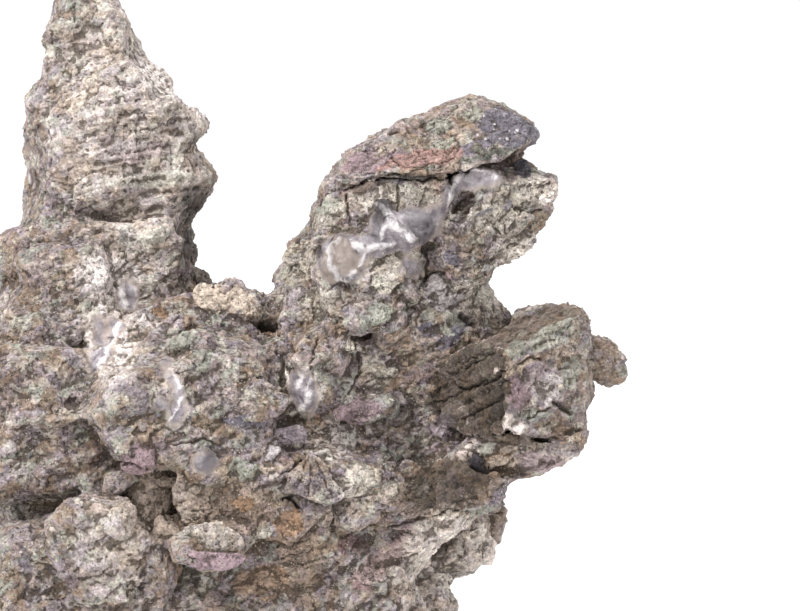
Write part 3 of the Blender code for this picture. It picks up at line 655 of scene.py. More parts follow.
# Where each colour lies on the front: its centre in the photograph, half width, half height, the
# angle by which its long side is turned up at the right, and its strength
PATCHES = {
    "brown": [((430, 135), (80, 26), 28, 0.5), ((470, 380), (46, 52), -20, 1), ((535, 324), (50, 12), 24, 1),
              ((450, 485), (60, 30), 20, 1), ((158, 500), (44, 44), 0, 1),
              ((235, 510), (60, 26), 0, 0.8), ((300, 560), (30, 50), 0, 0.8)],
    # shade: painted shade in the gaps under the cap and the block, under the left peak's ledges, on the block's
    # side and top and in hollows, with darker rock in places
    "shade": [((400, 178), (56, 4), 3, 0.8), ((530, 437), (30, 4), 0, 0.6), ((450, 484), (50, 24), 18, 0.85),
              ((195, 210), (14, 24), 0, 1.0), ((192, 240), (8, 16), 0, 0.9), ((197, 142), (10, 6), 0, 0.8),
              ((462, 202), (12, 9), 20, 0.6), ((535, 318), (48, 10), 24, 0.5), ((158, 505), (30, 30), 0, 0.2),
              ((190, 250), (12, 16), 0, 0.7), ((205, 283), (16, 14), 0, 0.6), ((466, 322), (14, 8), 0, 0.7),
              ((268, 328), (14, 9), 0, 0.8), ((344, 286), (12, 9), 0, 0.6), ((404, 404), (20, 9), 20, 0.4),
              ((292, 500), (12, 8), 0, 0.6), ((414, 222), (14, 14), 0, 0.4), ((382, 219), (5, 9), 0, 0.8),
              ((492, 154), (26, 6), 18, 0.9), ((496, 400), (9, 26), 0, 1.0), ((523, 168), (8, 9), 0, 0.7),
              ((420, 196), (14, 10), 0, 0.2), ((468, 386), (14, 8), -20, 0.5),
              ((205, 462), (16, 11), 0, 0.35), ((345, 256), (20, 20), 0, 0.25), ((356, 412), (22, 10), 22, 0.3),
              ((195, 350), (16, 12), 0, 0.15)],
    # pale: lighter rock in places, and painted light on the lit tops of the left peak's ledges and over shade on
    # the wedge under the block, the band under the cap, the quartz top and the hollow between prong and block
    "pale": [((140, 120), (90, 130), 0, 0.6), ((158, 76), (26, 16), -38, 1.0), ((114, 40), (26, 50), 0, 0.5),
             ((190, 116), (18, 9), -36, 0.9), ((204, 172), (12, 9), -50, 0.6), ((145, 220), (34, 24), 0, 0.7),
             ((512, 250), (26, 14), 35, 0.6), ((115, 545), (40, 60), 0, 0.5), ((540, 192), (22, 16), 0, 0.9),
             ((395, 268), (36, 24), 0, 0.4), ((362, 500), (36, 26), 0, 0.2), ((450, 550), (50, 40), 0, 0.9),
             ((112, 330), (34, 60), 0, 0.7), ((480, 298), (28, 20), 0, 1.0), ((305, 392), (14, 22), 0, 0.7),
             ((174, 395), (12, 38), 0, 0.6), ((232, 302), (26, 12), 0, 0.3), ((440, 585), (50, 30), 0, 0.6),
             ((470, 450), (12, 8), 20, 0.7), ((530, 456), (56, 16), -8, 0.35), ((134, 270), (40, 40), 0, 0.5),
             ((106, 344), (22, 30), 20, 1.0), ((478, 176), (22, 9), 4, 1.0), ((400, 232), (14, 8), -42, 0.8),
             ((108, 268), (40, 22), 0, 0.7), ((372, 199), (28, 14), 0, 0.95), ((436, 295), (16, 14), 0, 0.7),
             ((330, 440), (34, 22), 0, 0.6), ((378, 565), (34, 24), 0, 0.35), ((262, 583), (30, 16), 0, 0.25),
             ((560, 345), (14, 12), 0, 0.4), ((158, 505), (36, 36), 0, 0.4), ((126, 296), (14, 18), 0, 1.0),
             ((305, 392), (18, 24), 0, 1.0), ((545, 388), (16, 14), 0, 0.4), ((516, 424), (12, 6), 0, 0.7),
             ((490, 226), (40, 26), 35, 0.15), ((124, 298), (12, 14), 0, 1.0), ((350, 205), (20, 12), 20, 0.5)],
    "layered": [((430, 140), (92, 36), 22, 0.4), ((475, 380), (46, 52), 30, 1), ((536, 330), (60, 20), 27, 1), ((145, 165), (64, 100), 8, 0.9),
                ((470, 515), (50, 20), 10, 1)],
    "salmon": [((426, 158), (38, 10), 8, 1.5), ((300, 172), (9, 4), 20, 1), ((388, 168), (12, 4), 10, 1)],
    "ink": [((506, 128), (34, 18), -14, 1), ((478, 146), (24, 6), 20, 1), ((437, 296), (15, 15), -20, 0.9),
            ((455, 335), (22, 8), 30, 1), ((428, 330), (12, 8), 0, 1), ((216, 450), (10, 8), 0, 1),
            ((523, 169), (8, 9), 20, 1), ((508, 204), (5, 5), 0, 1), ((477, 462), (10, 7), 30, 0.7),
            ((245, 420), (18, 6), 4, 0.8), ((452, 256), (10, 8), 0, 0.8), ((486, 214), (9, 5), 20, 0.7)],
    "cream": [((395, 197), (44, 15), 0, 1), ((330, 215), (20, 12), 30, 1), ((505, 205), (44, 20), 30, 1),
              ((512, 250), (20, 9), 35, 1), ((395, 262), (30, 18), 20, 1), ((380, 375), (14, 12), 60, 1),
              ((318, 300), (22, 14), 0, 1), ((358, 482), (28, 16), 10, 1), ((300, 262), (24, 18), 40, 1)],
    "sage": [((490, 154), (34, 5), 18, 1), ((440, 126), (12, 7), 20, 1), ((473, 112), (12, 6), 20, 1),
             ((440, 145), (14, 6), 5, 1), ((378, 316), (18, 10), 10, 1), ((480, 292), (20, 12), 20, 1),
             ((183, 342), (14, 9), 20, 0.6), ((200, 368), (10, 9), 0, 0.6), ((487, 449), (9, 8), 0, 1), ((550, 338), (26, 12), 35, 1),
             ((150, 236), (24, 8), 10, 1), ((515, 350), (12, 8), 0, 1), ((240, 470), (12, 10), 0, 1),
             ((480, 510), (20, 5), 5, 1), ((570, 372), (10, 20), 0, 1), ((452, 325), (16, 10), 30, 1),
             ((378, 420), (10, 6), 0, 1), ((330, 205), (14, 8), 30, 1), ((150, 180), (40, 8), 8, 1),
             ((552, 390), (12, 4), 20, 1), ((536, 414), (18, 4), 4, 1)],
    "lilac": [((540, 382), (24, 20), -10, 0.8), ((205, 462), (16, 11), 0, 1), ((120, 390), (26, 22), 20, 0.5),
              ((262, 425), (26, 12), 15, 1), ((290, 440), (20, 14), 0, 1), ((116, 148), (24, 14), 0, 1),
              ((212, 560), (26, 8), 8, 0.6), ((442, 424), (16, 9), 24, 1), ((412, 266), (12, 10), 0, 1)],
    "mauve": [((360, 412), (24, 11), 22, 1), ((143, 455), (22, 10), 10, 1), ((545, 464), (40, 9), -14, 1),
              ((385, 162), (26, 8), 22, 1), ((146, 152), (24, 7), 12, 1), ((517, 388), (11, 20), 0, 1), ((214, 562), (22, 6), 8, 1), ((360, 160), (24, 10), 36, 0.7)],
    "maroon": [((378, 565), (34, 16), 40, 1), ((352, 545), (16, 12), 0, 1), ((400, 540), (20, 8), 30, 1)],
    "peach": [((232, 300), (28, 12), -12, 0.7), ((520, 366), (22, 5), 22, 1), ((506, 460), (16, 5), 20, 1), ((312, 478), (24, 22), -30, 0.4)],
    "milk": [((108, 276), (34, 20), 0, 1), ((108, 340), (22, 34), 20, 1), ((306, 392), (18, 26), 0, 0.8),
             ((150, 74), (16, 12), -30, 1), ((276, 452), (8, 7), 0, 1)],
    "rust": [((320, 422), (8, 8), 0, 1), ((290, 525), (16, 14), 0, 1), ((262, 582), (28, 16), 10, 1),
             ((162, 312), (8, 6), 0, 1), ((500, 462), (12, 6), 30, 1), ((268, 335), (12, 5), 0, 1),
             ((246, 504), (12, 8), 0, 1)],
    "tan": [((341, 262), (13, 11), 10, 1), ((483, 194), (10, 4), 5, 1), ((372, 258), (10, 8), 0, 1),
            ((306, 412), (10, 8), 0, 1), ((110, 345), (14, 20), 0, 0.6)],
    "speck": [((500, 128), (30, 12), -14, 1), ((472, 140), (14, 6), 0, 1)],
    "calm": [((130, 110), (110, 160), 0, 1), ((110, 560), (90, 70), 0, 0.8), ((530, 400), (50, 70), 0, 0.5),
             ((118, 320), (50, 90), 0, 0.7), ((470, 555), (50, 50), 0, 0.5)],
    "crisp": [((430, 205), (130, 105), -20, 1)],
    "smoky": [((424, 230), (11, 12), 20, 1), ((444, 200), (6, 10), 0, 1), ((464, 200), (10, 6), 0, 1),
              ((205, 462), (16, 10), 0, 0.7)],
}
PATCH_FRAY = 5.0
UNSEEN_PALE = 0.35

# Patches that fill whole flat faces, with their strengths; the shade on the block's side and top is painted
# shade
FACE_PATCHES = {
    "shade": {"block_side": 0.8, "block_top": 0.5, "fan": 0.25},
    "brown": {"block_side": 0.8, "block_top": 1.0},
}

# Where the skin is quartz: outlines in the photograph
QUARTZ_OUTLINES = [
    [(461, 168), (470, 166), (490, 167), (499, 173), (501, 180), (492, 187), (480, 193), (471, 193),
     (462, 191), (456, 200), (452, 211), (441, 216), (437, 228), (434, 241), (424, 245), (412, 243),
     (400, 246), (392, 251), (374, 256), (366, 270), (358, 281), (348, 287), (338, 283), (326, 285),
     (317, 272), (317, 250), (325, 238), (340, 232), (355, 236), (366, 232), (370, 218), (376, 207),
     (382, 203), (388, 208), (396, 214), (402, 209), (418, 207), (432, 206), (440, 196), (444, 184),
     (452, 176)],
    [(398, 258), (410, 254), (420, 258), (424, 268), (418, 277), (404, 278), (395, 270)],
    [(290, 372), (304, 368), (316, 378), (322, 396), (318, 412), (306, 418), (296, 404), (288, 388)],
    [(160, 352), (168, 354), (174, 372), (186, 392), (187, 404), (180, 414), (172, 426), (165, 420),
     (172, 408), (176, 398), (166, 382), (158, 366)],
    [(152, 400), (160, 396), (164, 404), (158, 410)],
    [(88, 314), (106, 314), (122, 320), (124, 334), (114, 352), (104, 372), (88, 382)],
    [(116, 283), (132, 281), (140, 292), (136, 309), (126, 315), (116, 306)],
    [(190, 452), (206, 450), (216, 460), (212, 472), (196, 474), (186, 464)],
]
QUARTZ_SMOOTHING = 40

# Crests of the quartz: the line each follows in the photograph, its half width and its height
QUARTZ_CRESTS = [
    ([(383, 205), (388, 213), (391, 221), (401, 230), (411, 240)], 10.0, 2.6),
    ([(388, 222), (384, 230), (381, 238)], 4.0, 0.6),
    ([(463, 169), (456, 180), (451, 190), (450, 207)], 7.0, 1.5),
    ([(463, 169), (478, 168), (491, 170), (499, 177)], 6.0, 0.9),
    ([(340, 240), (331, 243), (328, 252), (331, 264), (339, 276), (349, 282)], 7.0, 1.3),
    ([(352, 243), (364, 248), (378, 245), (393, 243)], 7.0, 1.3),
    ([(364, 248), (361, 262), (352, 277)], 6.0, 0.6),
    ([(300, 374), (298, 388)], 8.0, 0.6),
    ([(312, 380), (308, 400), (300, 412)], 8.0, 0.6),
    ([(170, 366), (180, 388)], 4.0, 0.4),
    ([(182, 398), (170, 418)], 4.0, 0.4),
    ([(119, 286), (124, 298), (122, 310)], 9.0, 0.6),
    ([(120, 322), (112, 344), (100, 366)], 6.0, 0.5),
    ([(186, 464), (196, 472)], 5.0, 0.4),
]

# Lobes of quartz fused into the skin: place in the photograph, half width, height and depth in
# millimetres, the turn of the long side, and how far the centre lies behind the skin
QUARTZ_LOBES = [
    ((480, 180), (6.0, 3.0, 2.4), 4, 0.5),
    ((494, 180), (2.6, 2.4, 2.2), 4, 0.5),
    ((462, 185), (3.6, 3.0, 2.4), 40, 0.6),
    ((445, 203), (2.4, 5.4, 2.0), -26, 0.7),
    ((428, 226), (3.8, 5.0, 1.8), -14, 1.1),
    ((411, 227), (6.2, 4.6, 1.8), 8, 1.1),
    ((384, 220), (2.7, 4.8, 2.4), -14, 0.4),
    ((398, 236), (5.6, 2.6, 2.6), -38, 0.2),
    ((374, 246), (6.2, 3.8, 2.2), 6, 0.9),
    ((344, 258), (6.2, 6.2, 2.4), 24, 1.0),
    ((336, 268), (4.0, 3.8, 2.2), 0, 1.0),
    ((392, 232), (3.4, 5.2, 1.8), -10, 0.7),
    ((408, 264), (3.8, 2.8, 1.2), -20, 0.5),
    ((303, 384), (3.4, 5.4, 1.6), 8, 0.8),
    ((308, 404), (2.6, 3.0, 1.4), 0, 0.6),
    ((165, 364), (1.6, 3.6, 1.2), 22, 0.5),
    ((176, 388), (2.0, 4.2, 1.3), 26, 0.5),
    ((178, 414), (2.2, 3.8, 1.3), -16, 0.5),
    ((158, 404), (2.4, 2.0, 1.2), 0, 0.5),
    ((204, 461), (4.0, 2.8, 1.8), 10, 0.8),
    ((128, 298), (2.8, 3.8, 1.6), 0, 0.6),
    ((106, 336), (4.8, 5.6, 2.0), 20, 0.9),
    ((98, 360), (3.0, 4.4, 2.0), 0, 0.8),
]
LOBE_CUTS = 11
LUMP_CUTS = 10

# The tints of clasts and crumbs: a place on the scale of tints, the colour, and how far it goes
TINTS = {
    "plain": (0.34, None),
    "cream": (0.42, CREAM),
    "sage": (0.53, SAGE),
    "mauve": (0.62, MAUVE),
    "brown": (0.70, BROWN),
    "slate": (0.77, SLATE),
    "peach": (0.83, PEACH),
    "milk": (0.89, MILK),
    "lavender": (0.94, LILAC),
    "maroon": (0.97, MAROON),
    "salmon": (0.98, SALMON),
    "rust": (0.99, RUST),
    "dark": (1.0, PIT),
}
QUARTZ_TINT = 2.0
RANDOM_TINTS = 0.95


def tint_colours(tints):
    """Colours and covers, in four numbers, for places on the scale of tints."""
    ends = np.array([end for end, _ in TINTS.values()])
    table = np.array([(*(colour or PLAIN), colour is not None) for _, colour in TINTS.values()], float)
    return table[np.minimum(np.searchsorted(ends, tints), len(ends) - 1)]


def frayed_place(points):
    """Where points fall in the photograph, with noise that frays the rims of what is laid out there."""
    column, row, _ = photo_place(points)
    column = column + PATCH_FRAY * swell(points, 3.0, 71) + PATCH_FRAY / 2 * swell(points, 1.3, 72)
    row = row + PATCH_FRAY * swell(points, 3.0, 73) + PATCH_FRAY / 2 * swell(points, 1.3, 74)
    return column, row


def patch_strengths(column, row, normals, names):
    """For each name, the strength of its patches at places, falling to 0 at their rims.

    Only the skin that faces the photograph's eye is coloured.
    """
    facing = step_up(-normals @ VIEW_ALONG, -0.25, 0.1)
    strengths = {}
    for name in names:
        strength = np.zeros(len(column))
        for (centre_column, centre_row), (half_width, half_height), turned, most in PATCHES[name]:
            angle = math.radians(turned)
            right, down = column - centre_column, row - centre_row
            along = (right * math.cos(angle) - down * math.sin(angle)) / half_width
            across = (right * math.sin(angle) + down * math.cos(angle)) / half_height
            strength = np.maximum(strength, most * step_up(1.25 - np.hypot(along, across), 0, 0.6))
        for face, most in FACE_PATCHES.get(name, {}).items():
            strength = np.maximum(strength, most * inside_outline(column, row, FACES[face][0]))
        strengths[name] = strength * facing
        if name == "pale":
            strengths[name] += UNSEEN_PALE * (1 - facing)
    return strengths


def quartz_colour(rock, places):
    """Milky quartz: cloudy lavender grey, white on its crests, partly painted highlight, and tan where it is
    stained.
    """
    cloud = rock.noise(rock.shifted(places, 5.0, 4.0), 5.0, 6.0, 0.65)
    wisp = rock.noise(rock.shifted(places, 2.5, 2.5), 1.7, 5.0, 0.7)
    colour = rock.node("ShaderNodeValToRGB", {"stops": QUARTZ_TONES}, {"Fac": 0.5 + (cloud - 0.5) * 1.4 + (wisp - 0.5) * 0.7})
    fray = (wisp - 0.5) * 1.6 + (cloud - 0.5) * 1.4
    # The white on the crests is partly the quartz's own colour and partly a painted highlight.
    for name, tint, low, high, strength in (
        ("tan", STAIN, 0.3, 0.8, 0.6), ("smoky", SMOKE, 0.3, 0.8, 0.7), ("crest", WHITE, 0.35, 1.05, 0.95),
    ):
        share = (rock.attribute(name) + fray).rise(low, high) * strength
        colour = rock.blend(share, colour, tint)
    quartz = rock.attribute("quartz")
    rim = quartz * (1 - quartz) * 4 + fray * 0.4
    return rock.blend(rim.rise(0.3, 1.1) * 0.55, colour, STAIN), wisp


def rock_finish():
    """Mottled breccia: clasts of cream, sage, mauve, slate and brown with pits and flecks, dirt and painted
    shade in hollows, a painted highlight on edges, and patches of painted light and shade.
    """
    rock = Finish("rock")
    places = rock.places()
    beds = rock.laid(rock.shifted(places, 9.0, 5.0), 1.6)
    fine_beds = rock.laid(rock.shifted(places, 2.2, 1.3), 1.3)

    broad = rock.noise(beds, 12.0, 9.0, 0.82)
    blotch = rock.noise(fine_beds, 3.2, 7.0, 0.8)
    grain = rock.noise(places, 0.7, 3.0, 0.8)
    clast = rock.separate(rock.grains(beds, 4.2, out="Color"), "Red")
    chip_tilt, chip = rock.facets(fine_beds, 1.7)
    crumb_tilt, crumb = rock.facets(rock.shifted(places, 0.8, 0.4), 0.55)

    own_tone = rock.attribute("tone")
    tone = 0.5 + (broad - 0.5) * 0.8 + (blotch - 0.5) * 0.8 + (clast - 0.5) * 0.16 + (chip - 0.5) * 0.14
    layered = rock.attribute("layered")
    lines = rock.noise(rock.attribute("layer_place", "Vector"), 0.75, 4.0, 0.7)
    tone = tone + own_tone * 0.16 + layered * (lines - 0.5) * 1.5
    colour = rock.node("ShaderNodeValToRGB", {"stops": ROCK_TONES}, {"Fac": tone})

    for size, low, tint, strength, squeeze in (
        (6.0, 0.50, SAGE, 0.7, 1.6), (5.0, 0.50, LILAC, 0.65, 1.3), (7.0, 0.50, BROWN, 0.75, 1.0),
        (4.2, 0.55, CREAM, 0.5, 1.2), (3.4, 0.56, SLATE, 0.5, 1.4), (8.0, 0.58, PEACH, 0.4, 1.0),
    ):
        mottle = rock.noise(rock.laid(rock.shifted(places, 4.0, 3.0), squeeze), size, 2.0, 0.55, 0.5)
        colour = rock.blend(mottle.rise(low, low + 0.10) * strength, colour, tint)

    cover = rock.attribute("tint", "Alpha") * (0.38 + (blotch - 0.5) * 0.8)
    colour = rock.blend(cover, colour, rock.attribute("tint", "Color"))

    fray = (grain - 0.5) * 0.3 + (blotch - 0.5) * 1.2
    for name, tint, strength in (
        ("brown", BROWN, 0.55), ("cream", CREAM, 0.55), ("sage", SAGE, 0.65), ("lilac", LILAC, 0.6),
        ("ink", SLATE, 0.85), ("mauve", MAUVE, 0.85), ("maroon", MAROON, 0.75), ("rust", RUST, 0.7),
        ("salmon", SALMON, 0.9), ("peach", PEACH, 0.85), ("milk", MILK, 0.6),
    ):
        share = (rock.attribute(name) + fray).rise(0.35, 0.65) * strength
        colour = rock.blend(share, colour, tint)

    # The pale patches are partly painted light, the shade patches partly painted shade.
    pale = rock.attribute("pale") * (1.0 + (blotch - 0.5) * 1.5)
    shade = rock.attribute("shade") * (1.0 + (blotch - 0.5) * 1.0)
    # Hollows are browned and darkened: partly dirt, partly painted shade where less light reaches them.
    hollow_dirt_and_shade = (rock.attribute("hollow") + (grain - 0.5) * 0.8).rise(0.22, 0.75)
    # Proud edges are lightened: a painted highlight.
    edge_highlight = (rock.attribute("edge") + (grain - 0.5) * 0.8).rise(0.3, 0.9)
    colour = rock.blend(pale * 0.5, colour, PALE_AND_PAINTED_LIGHT)
    colour = rock.blend(hollow_dirt_and_shade * 0.4, colour, BROWN)
    calm, crisp = rock.attribute("calm"), rock.attribute("crisp")
    value = 1.03 + (grain - 0.5) * (1.8 + crisp * 0.8 - calm * 0.9) + (crumb - 0.5) * 0.5 + (chip - 0.5) * 0.35 + own_tone * 0.45
    value = value * (1 + edge_highlight * 0.25) * (1 - hollow_dirt_and_shade * 0.55)
    colour = rock.dimmed(colour, value)

    fleck_size = rock.grains(rock.shifted(places, 1.0, 0.5), 0.95)
    fleck = (1 - fleck_size.rise(0.16, 0.24)) * rock.noise(places, 5.0, 3.0).rise(0.48, 0.58)
    speck_size = rock.grains(rock.shifted(places, 1.4, 0.9), 2.2)
    speck = (1 - speck_size.rise(0.16, 0.22)) * rock.attribute("speck")
    colour = rock.blend(speck * 0.9, colour, WHITE)
    colour = rock.blend(fleck * (0.7 - calm * 0.4), colour, FLECK)
    pit_size = rock.grains(rock.shifted(places, 0.8, 0.5), 0.72)
    pit = (1 - pit_size.rise(0.18, 0.28)) * rock.noise(places, 4.0, 3.0).rise(0.42, 0.56)
    colour = rock.blend(pit * (0.75 - calm * 0.4 + crisp * 0.2), colour, PIT)

    vein = (rock.attribute("quartz") + (blotch - 0.5) * 1.1).rise(0.35, 0.75)
    glassy, wisp = quartz_colour(rock, places)
    colour = rock.blend(vein, colour, glassy)
    # Painted light and painted shade: the pale and shade patches brighten and darken the finished colour, partly
    # as lighter and darker rock.
    colour = rock.dimmed(colour, 1.0 + pale * 0.4 - shade * 0.75)

    rough_height = grain * 0.34 + chip_tilt * 0.28 + crumb_tilt * 0.24 - pit * 0.3 + layered * lines * 0.5
    height = rough_height * (1 - vein) + (wisp * 0.3 + grain * 0.06) * vein
    bump = rock.node("ShaderNodeBump", None, {"Strength": 1.0, "Distance": MM, "Height": height}, "Normal")
    rock.feed(rock.surface.inputs["Base Color"], colour)
    rock.feed(rock.surface.inputs["Roughness"], (0.62 + grain * 0.3) * (1 - vein) + vein * (0.3 + wisp * 0.3))
    rock.feed(rock.surface.inputs["Normal"], bump)
    rock.feed(rock.surface.inputs["Coat Weight"], vein * 0.2)
    rock.surface.inputs["Specular IOR Level"].default_value = 0.3
    rock.surface.inputs["Coat Roughness"].default_value = 0.22
    return rock.material


def merged_node(name):
    """A copy of a node of the frame with its loose triangles joined into one skin."""
    piece = loose_piece("skin_work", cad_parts[name].data.copy())
    apply_modifier(piece, "WELD", merge_threshold=0.01 * MM)
    return piece


def reach_to_line(column, row, line):
    """Distance, in pixels, from each place to the nearest point of a line of straight stretches."""
    nearest = np.full(len(column), 1e9)
    for (start_column, start_row), (end_column, end_row) in itertools.pairwise(line):
        run, fall = end_column - start_column, end_row - start_row
        share = ((column - start_column) * run + (row - start_row) * fall) / (run * run + fall * fall)
        share = np.clip(share, 0, 1)
        gap = np.hypot(column - start_column - share * run, row - start_row - share * fall)
        nearest = np.minimum(nearest, gap)
    return nearest


def inside_outline(column, row, outline):
    """True where a place is inside a closed outline: a level ray from it crosses the outline oddly."""
    inside = np.zeros(len(column), bool)
    for (first_column, first_row), (next_column, next_row) in zip(outline, outline[1:] + outline[:1]):
        spans = (first_row > row) != (next_row > row)
        slope = (next_column - first_column) / (next_row - first_row or 1e-9)
        inside ^= spans & (column < first_column + (row - first_row) * slope)
    return inside


def slid_to_depth(points, depths):
    """Points slid along their lines of sight to the depths, which are places on the y axis."""
    sight = points - EYE
    return EYE + sight * ((depths - EYE[1]) / sight[:, 1])[:, None]


def plane_depth(plane_points, column, row):
    """Depth at places of the photograph on the plane that fits its points best."""
    columns, rows, depths = np.array(plane_points, float).T
    slope, *_ = np.linalg.lstsq(np.stack([columns, rows, np.ones(len(columns))], axis=1), depths, rcond=None)
    return column * slope[0] + row * slope[1] + slope[2]


def sight_points(places):
    """Points on the lines of sight through places of the photograph, at the eye's target distance."""
    column, row = np.array(places, float).T
    right = np.outer((column - PHOTO_WIDTH / 2) / PIXELS_PER_SLOPE, VIEW_RIGHT)
    up = np.outer((PHOTO_HEIGHT / 2 - row) / PIXELS_PER_SLOPE, VIEW_UP)
    return EYE + VIEW_DISTANCE * (VIEW_ALONG + right + up)


def frayed_outline(outline):
    """An outline's points at even steps, each moved by noise, so that its edge isn't straight."""
    corners = np.array(outline + outline[:1], float)
    lengths = np.hypot(*np.diff(corners, axis=0).T)
    run = np.concatenate([[0], np.cumsum(lengths)])
    places = np.linspace(0, run[-1], max(6, int(run[-1] / FACE_STEP)), endpoint=False)
    even = np.stack([np.interp(places, run, corners[:, axis]) for axis in (0, 1)], axis=1)
    flat = np.column_stack([even, np.zeros(len(even))])
    drift = np.stack([swell(flat, 9.0, 61 + axis) for axis in (0, 1)], axis=1)
    return even + FACE_FRAY * drift


def prism(edge, front_depths, back_depths):
    """A closed prism along the lines of sight, between two depths at each corner of its outline."""
    rays = sight_points(edge)
    front, back = slid_to_depth(rays, front_depths), slid_to_depth(rays, back_depths)
    count = len(edge)
    column, row = edge.T
    cap = np.array(tessellate_polygon([[Vector((*place, 0)) for place in edge]]))
    turned = np.cross(*np.diff(edge[cap[0]], axis=0))
    first = np.arange(count)
    after = (first + 1) % count
    sides = np.vstack([
        np.stack([first, first + count, after], axis=1),
        np.stack([after, first + count, after + count], axis=1),
    ])
    if np.sum(column * row[after] - column[after] * row) > 0:
        sides = sides[:, ::-1]
    if turned < 0:
        cap = cap[:, ::-1]
    return np.vstack([front, back]), np.vstack([cap[:, ::-1], cap + count, sides])


def face_prism(outline, plane_points, near, far):
    """A closed prism along the lines of sight: its outline at two depths from a flat face's plane."""
    edge = frayed_outline(outline)
    depths = plane_depth(plane_points, *edge.T)
    return prism(edge, depths + near, depths + far)


def cut_faces(piece):
    """Cuts the solid back to its flat faces, where it stands in front of them, and from the trims."""
    prisms = [face_prism(outline, plane, -reach, 0) for outline, plane, reach, _ in FACES.values()]
    for outline in TRIMS:
        edge = frayed_outline(outline)
        even = np.ones(len(edge))
        prisms.append(prism(edge, TRIM_FRONT * even, TRIM_BACK * even))
    for points, faces in prisms:
        cutter = loose_piece("cutter", mesh_of("cutter", points, faces))
        apply_modifier(piece, "BOOLEAN", operation="DIFFERENCE", solver="MANIFOLD", object=cutter)
        bpy.data.objects.remove(cutter)


def layer_lines(column, row, normals):
    """Where the front is layered: how strongly, and places in millimetres across and along the layers."""
    strength = np.zeros(len(column))
    lines = np.zeros((len(column), 3))
    facing = step_up(-normals @ VIEW_ALONG, -0.25, 0.1)
    for (centre_column, centre_row), (half_width, half_height), turned, most in PATCHES["layered"]:
        angle = math.radians(turned)
        right, down = column - centre_column, row - centre_row
        along = right * math.cos(angle) - down * math.sin(angle)
        across = right * math.sin(angle) + down * math.cos(angle)
        here = most * facing * step_up(1.25 - np.hypot(along / half_width, across / half_height), 0, 0.6)
        ahead = here > strength
        lines[ahead] = np.column_stack([across, along / LAYER_STRETCH, 0 * along])[ahead] / PIXELS_PER_MM
        strength = np.maximum(strength, here)
    return strength, lines


def inside_quartz(column, row, normals):
    """True on the front's skin inside the outlines of the quartz."""
    inside = np.zeros(len(column), bool)
    for outline in QUARTZ_OUTLINES:
        inside |= inside_outline(column, row, outline)
    return inside & (normals @ VIEW_ALONG < 0.1)


def quartz_share(points, normals, marks, edges):
    """1 where the skin is quartz and 0 where it is rock, with a soft rim between."""
    share = inside_quartz(*frayed_place(points), normals) | (marks[:, 3] > 1.5)
    share = share.astype(float)[:, None]
    for _ in range(5):
        share = neighbour_mean(share, edges)
    return share[:, 0]


def crest_share(column, row):
    """How near places are to a crest of the quartz, and how high it stands there: both 0 far from it."""
    nearness, height = np.zeros(len(column)), np.zeros(len(column))
    for line, half_width, most in QUARTZ_CRESTS:
        near = np.clip(1 - reach_to_line(column, row, line) / half_width, 0, 1)
        nearness = np.maximum(nearness, near)
        height = np.maximum(height, most * near**1.4)
    return nearness, height


def quartz_skin(points, normals, share, edges):
    """Draws the quartz smooth over the rock and raises its crests."""
    smooth = points
    for _ in range(QUARTZ_SMOOTHING):
        smooth = neighbour_mean(smooth, edges)
    column, row, _ = photo_place(points)
    column = column + 3.0 * swell(points, 3.4, 91) + 1.4 * swell(points, 1.4, 94)
    row = row + 3.0 * swell(points, 3.4, 92) + 1.4 * swell(points, 1.4, 95)
    _, height = crest_share(column, row)
    height = height + 0.45 * rough_swell(points, 3.4, 93, 2) + 0.20 * facets(points, 3.0, 97, 1.4)[0]
    return points + share[:, None] * (smooth - points + normals * height[:, None])


def crack_skin(points, normals):
    """Sinks the skin along the cracks, deepest on the line of each."""
    column, row, _ = photo_place(points)
    column = column + 2.4 * swell(points, 3.0, 64) + 1.2 * swell(points, 1.2, 62)
    row = row + 2.4 * swell(points, 3.0, 65) + 1.2 * swell(points, 1.2, 63)
    facing = step_up(-normals @ VIEW_ALONG, -0.3, 0.1)
    sunk = np.zeros(len(points))
    for line, half_width, depth in CRACKS:
        gap = reach_to_line(column, row, line)
        sunk = np.maximum(sunk, depth * step_up(half_width - gap, 0, half_width))
    return sunk * facing


def ledge_skin(points, normals):
    """Wavers the skin a little and steps it into ledges along the beds."""
    laid = warped(points, 9.0, 2.6, 11) @ BEDDING.T
    bed = (laid[:, 2] * 1.7 + 2.5 * swell(points, 16.0, 31)) / 6.5 % 1.0
    shelf = np.where(bed < 0.8, bed / 0.8, (1 - bed) / 0.2) - 0.5
    ledge_strength = step_up(swell(points, 26.0, 33), -0.4, 0.4)
    outward = 0.8 * shelf * ledge_strength * (1 - np.abs(normals @ BEDDING[2]))
    outward += 0.35 * swell(points, 7.0, 37)
    return points + normals * (outward * step_up(points[:, 2], 0.1, BASE_FADE))[:, None]


def chip_skin(points, normals, glassy, layered, lines):
    """Breaks the skin into flat chips of three sizes, stepped where they meet, but not where glassy.

    Thin beds show as fine ledges where the rock is layered, and the cracks are sunk into it.
    """
    laid = warped(points, 6.0, 1.8, 41) @ BEDDING.T * np.array([1.0, 1.0, 1.6])
    large, large_joint = facets(laid, 7.0, 21, 1.2)
    small, small_joint = facets(laid, 2.8, 43, 1.3)
    tiny, _ = facets(warped(laid, 1.6, 0.4, 45), 1.2, 47, 1.3)
    busy = step_up(swell(points, 9.0, 49), -0.6, 0.5)
    cracked = step_up(swell(points, 11.0, 35), 0.25, 0.6)
    outward = 0.22 * large + 0.20 * small + (0.05 + 0.08 * busy) * tiny
    outward -= 0.35 * large_joint * cracked + 0.12 * small_joint * busy
    outward += 0.75 * layered * (0.5 - np.abs(rough_swell(lines, 1.9, 66, 2)))
    outward = (1 - glassy) * outward - crack_skin(points, normals)
    return points + normals * (outward * step_up(points[:, 2], 0.1, BASE_FADE))[:, None]


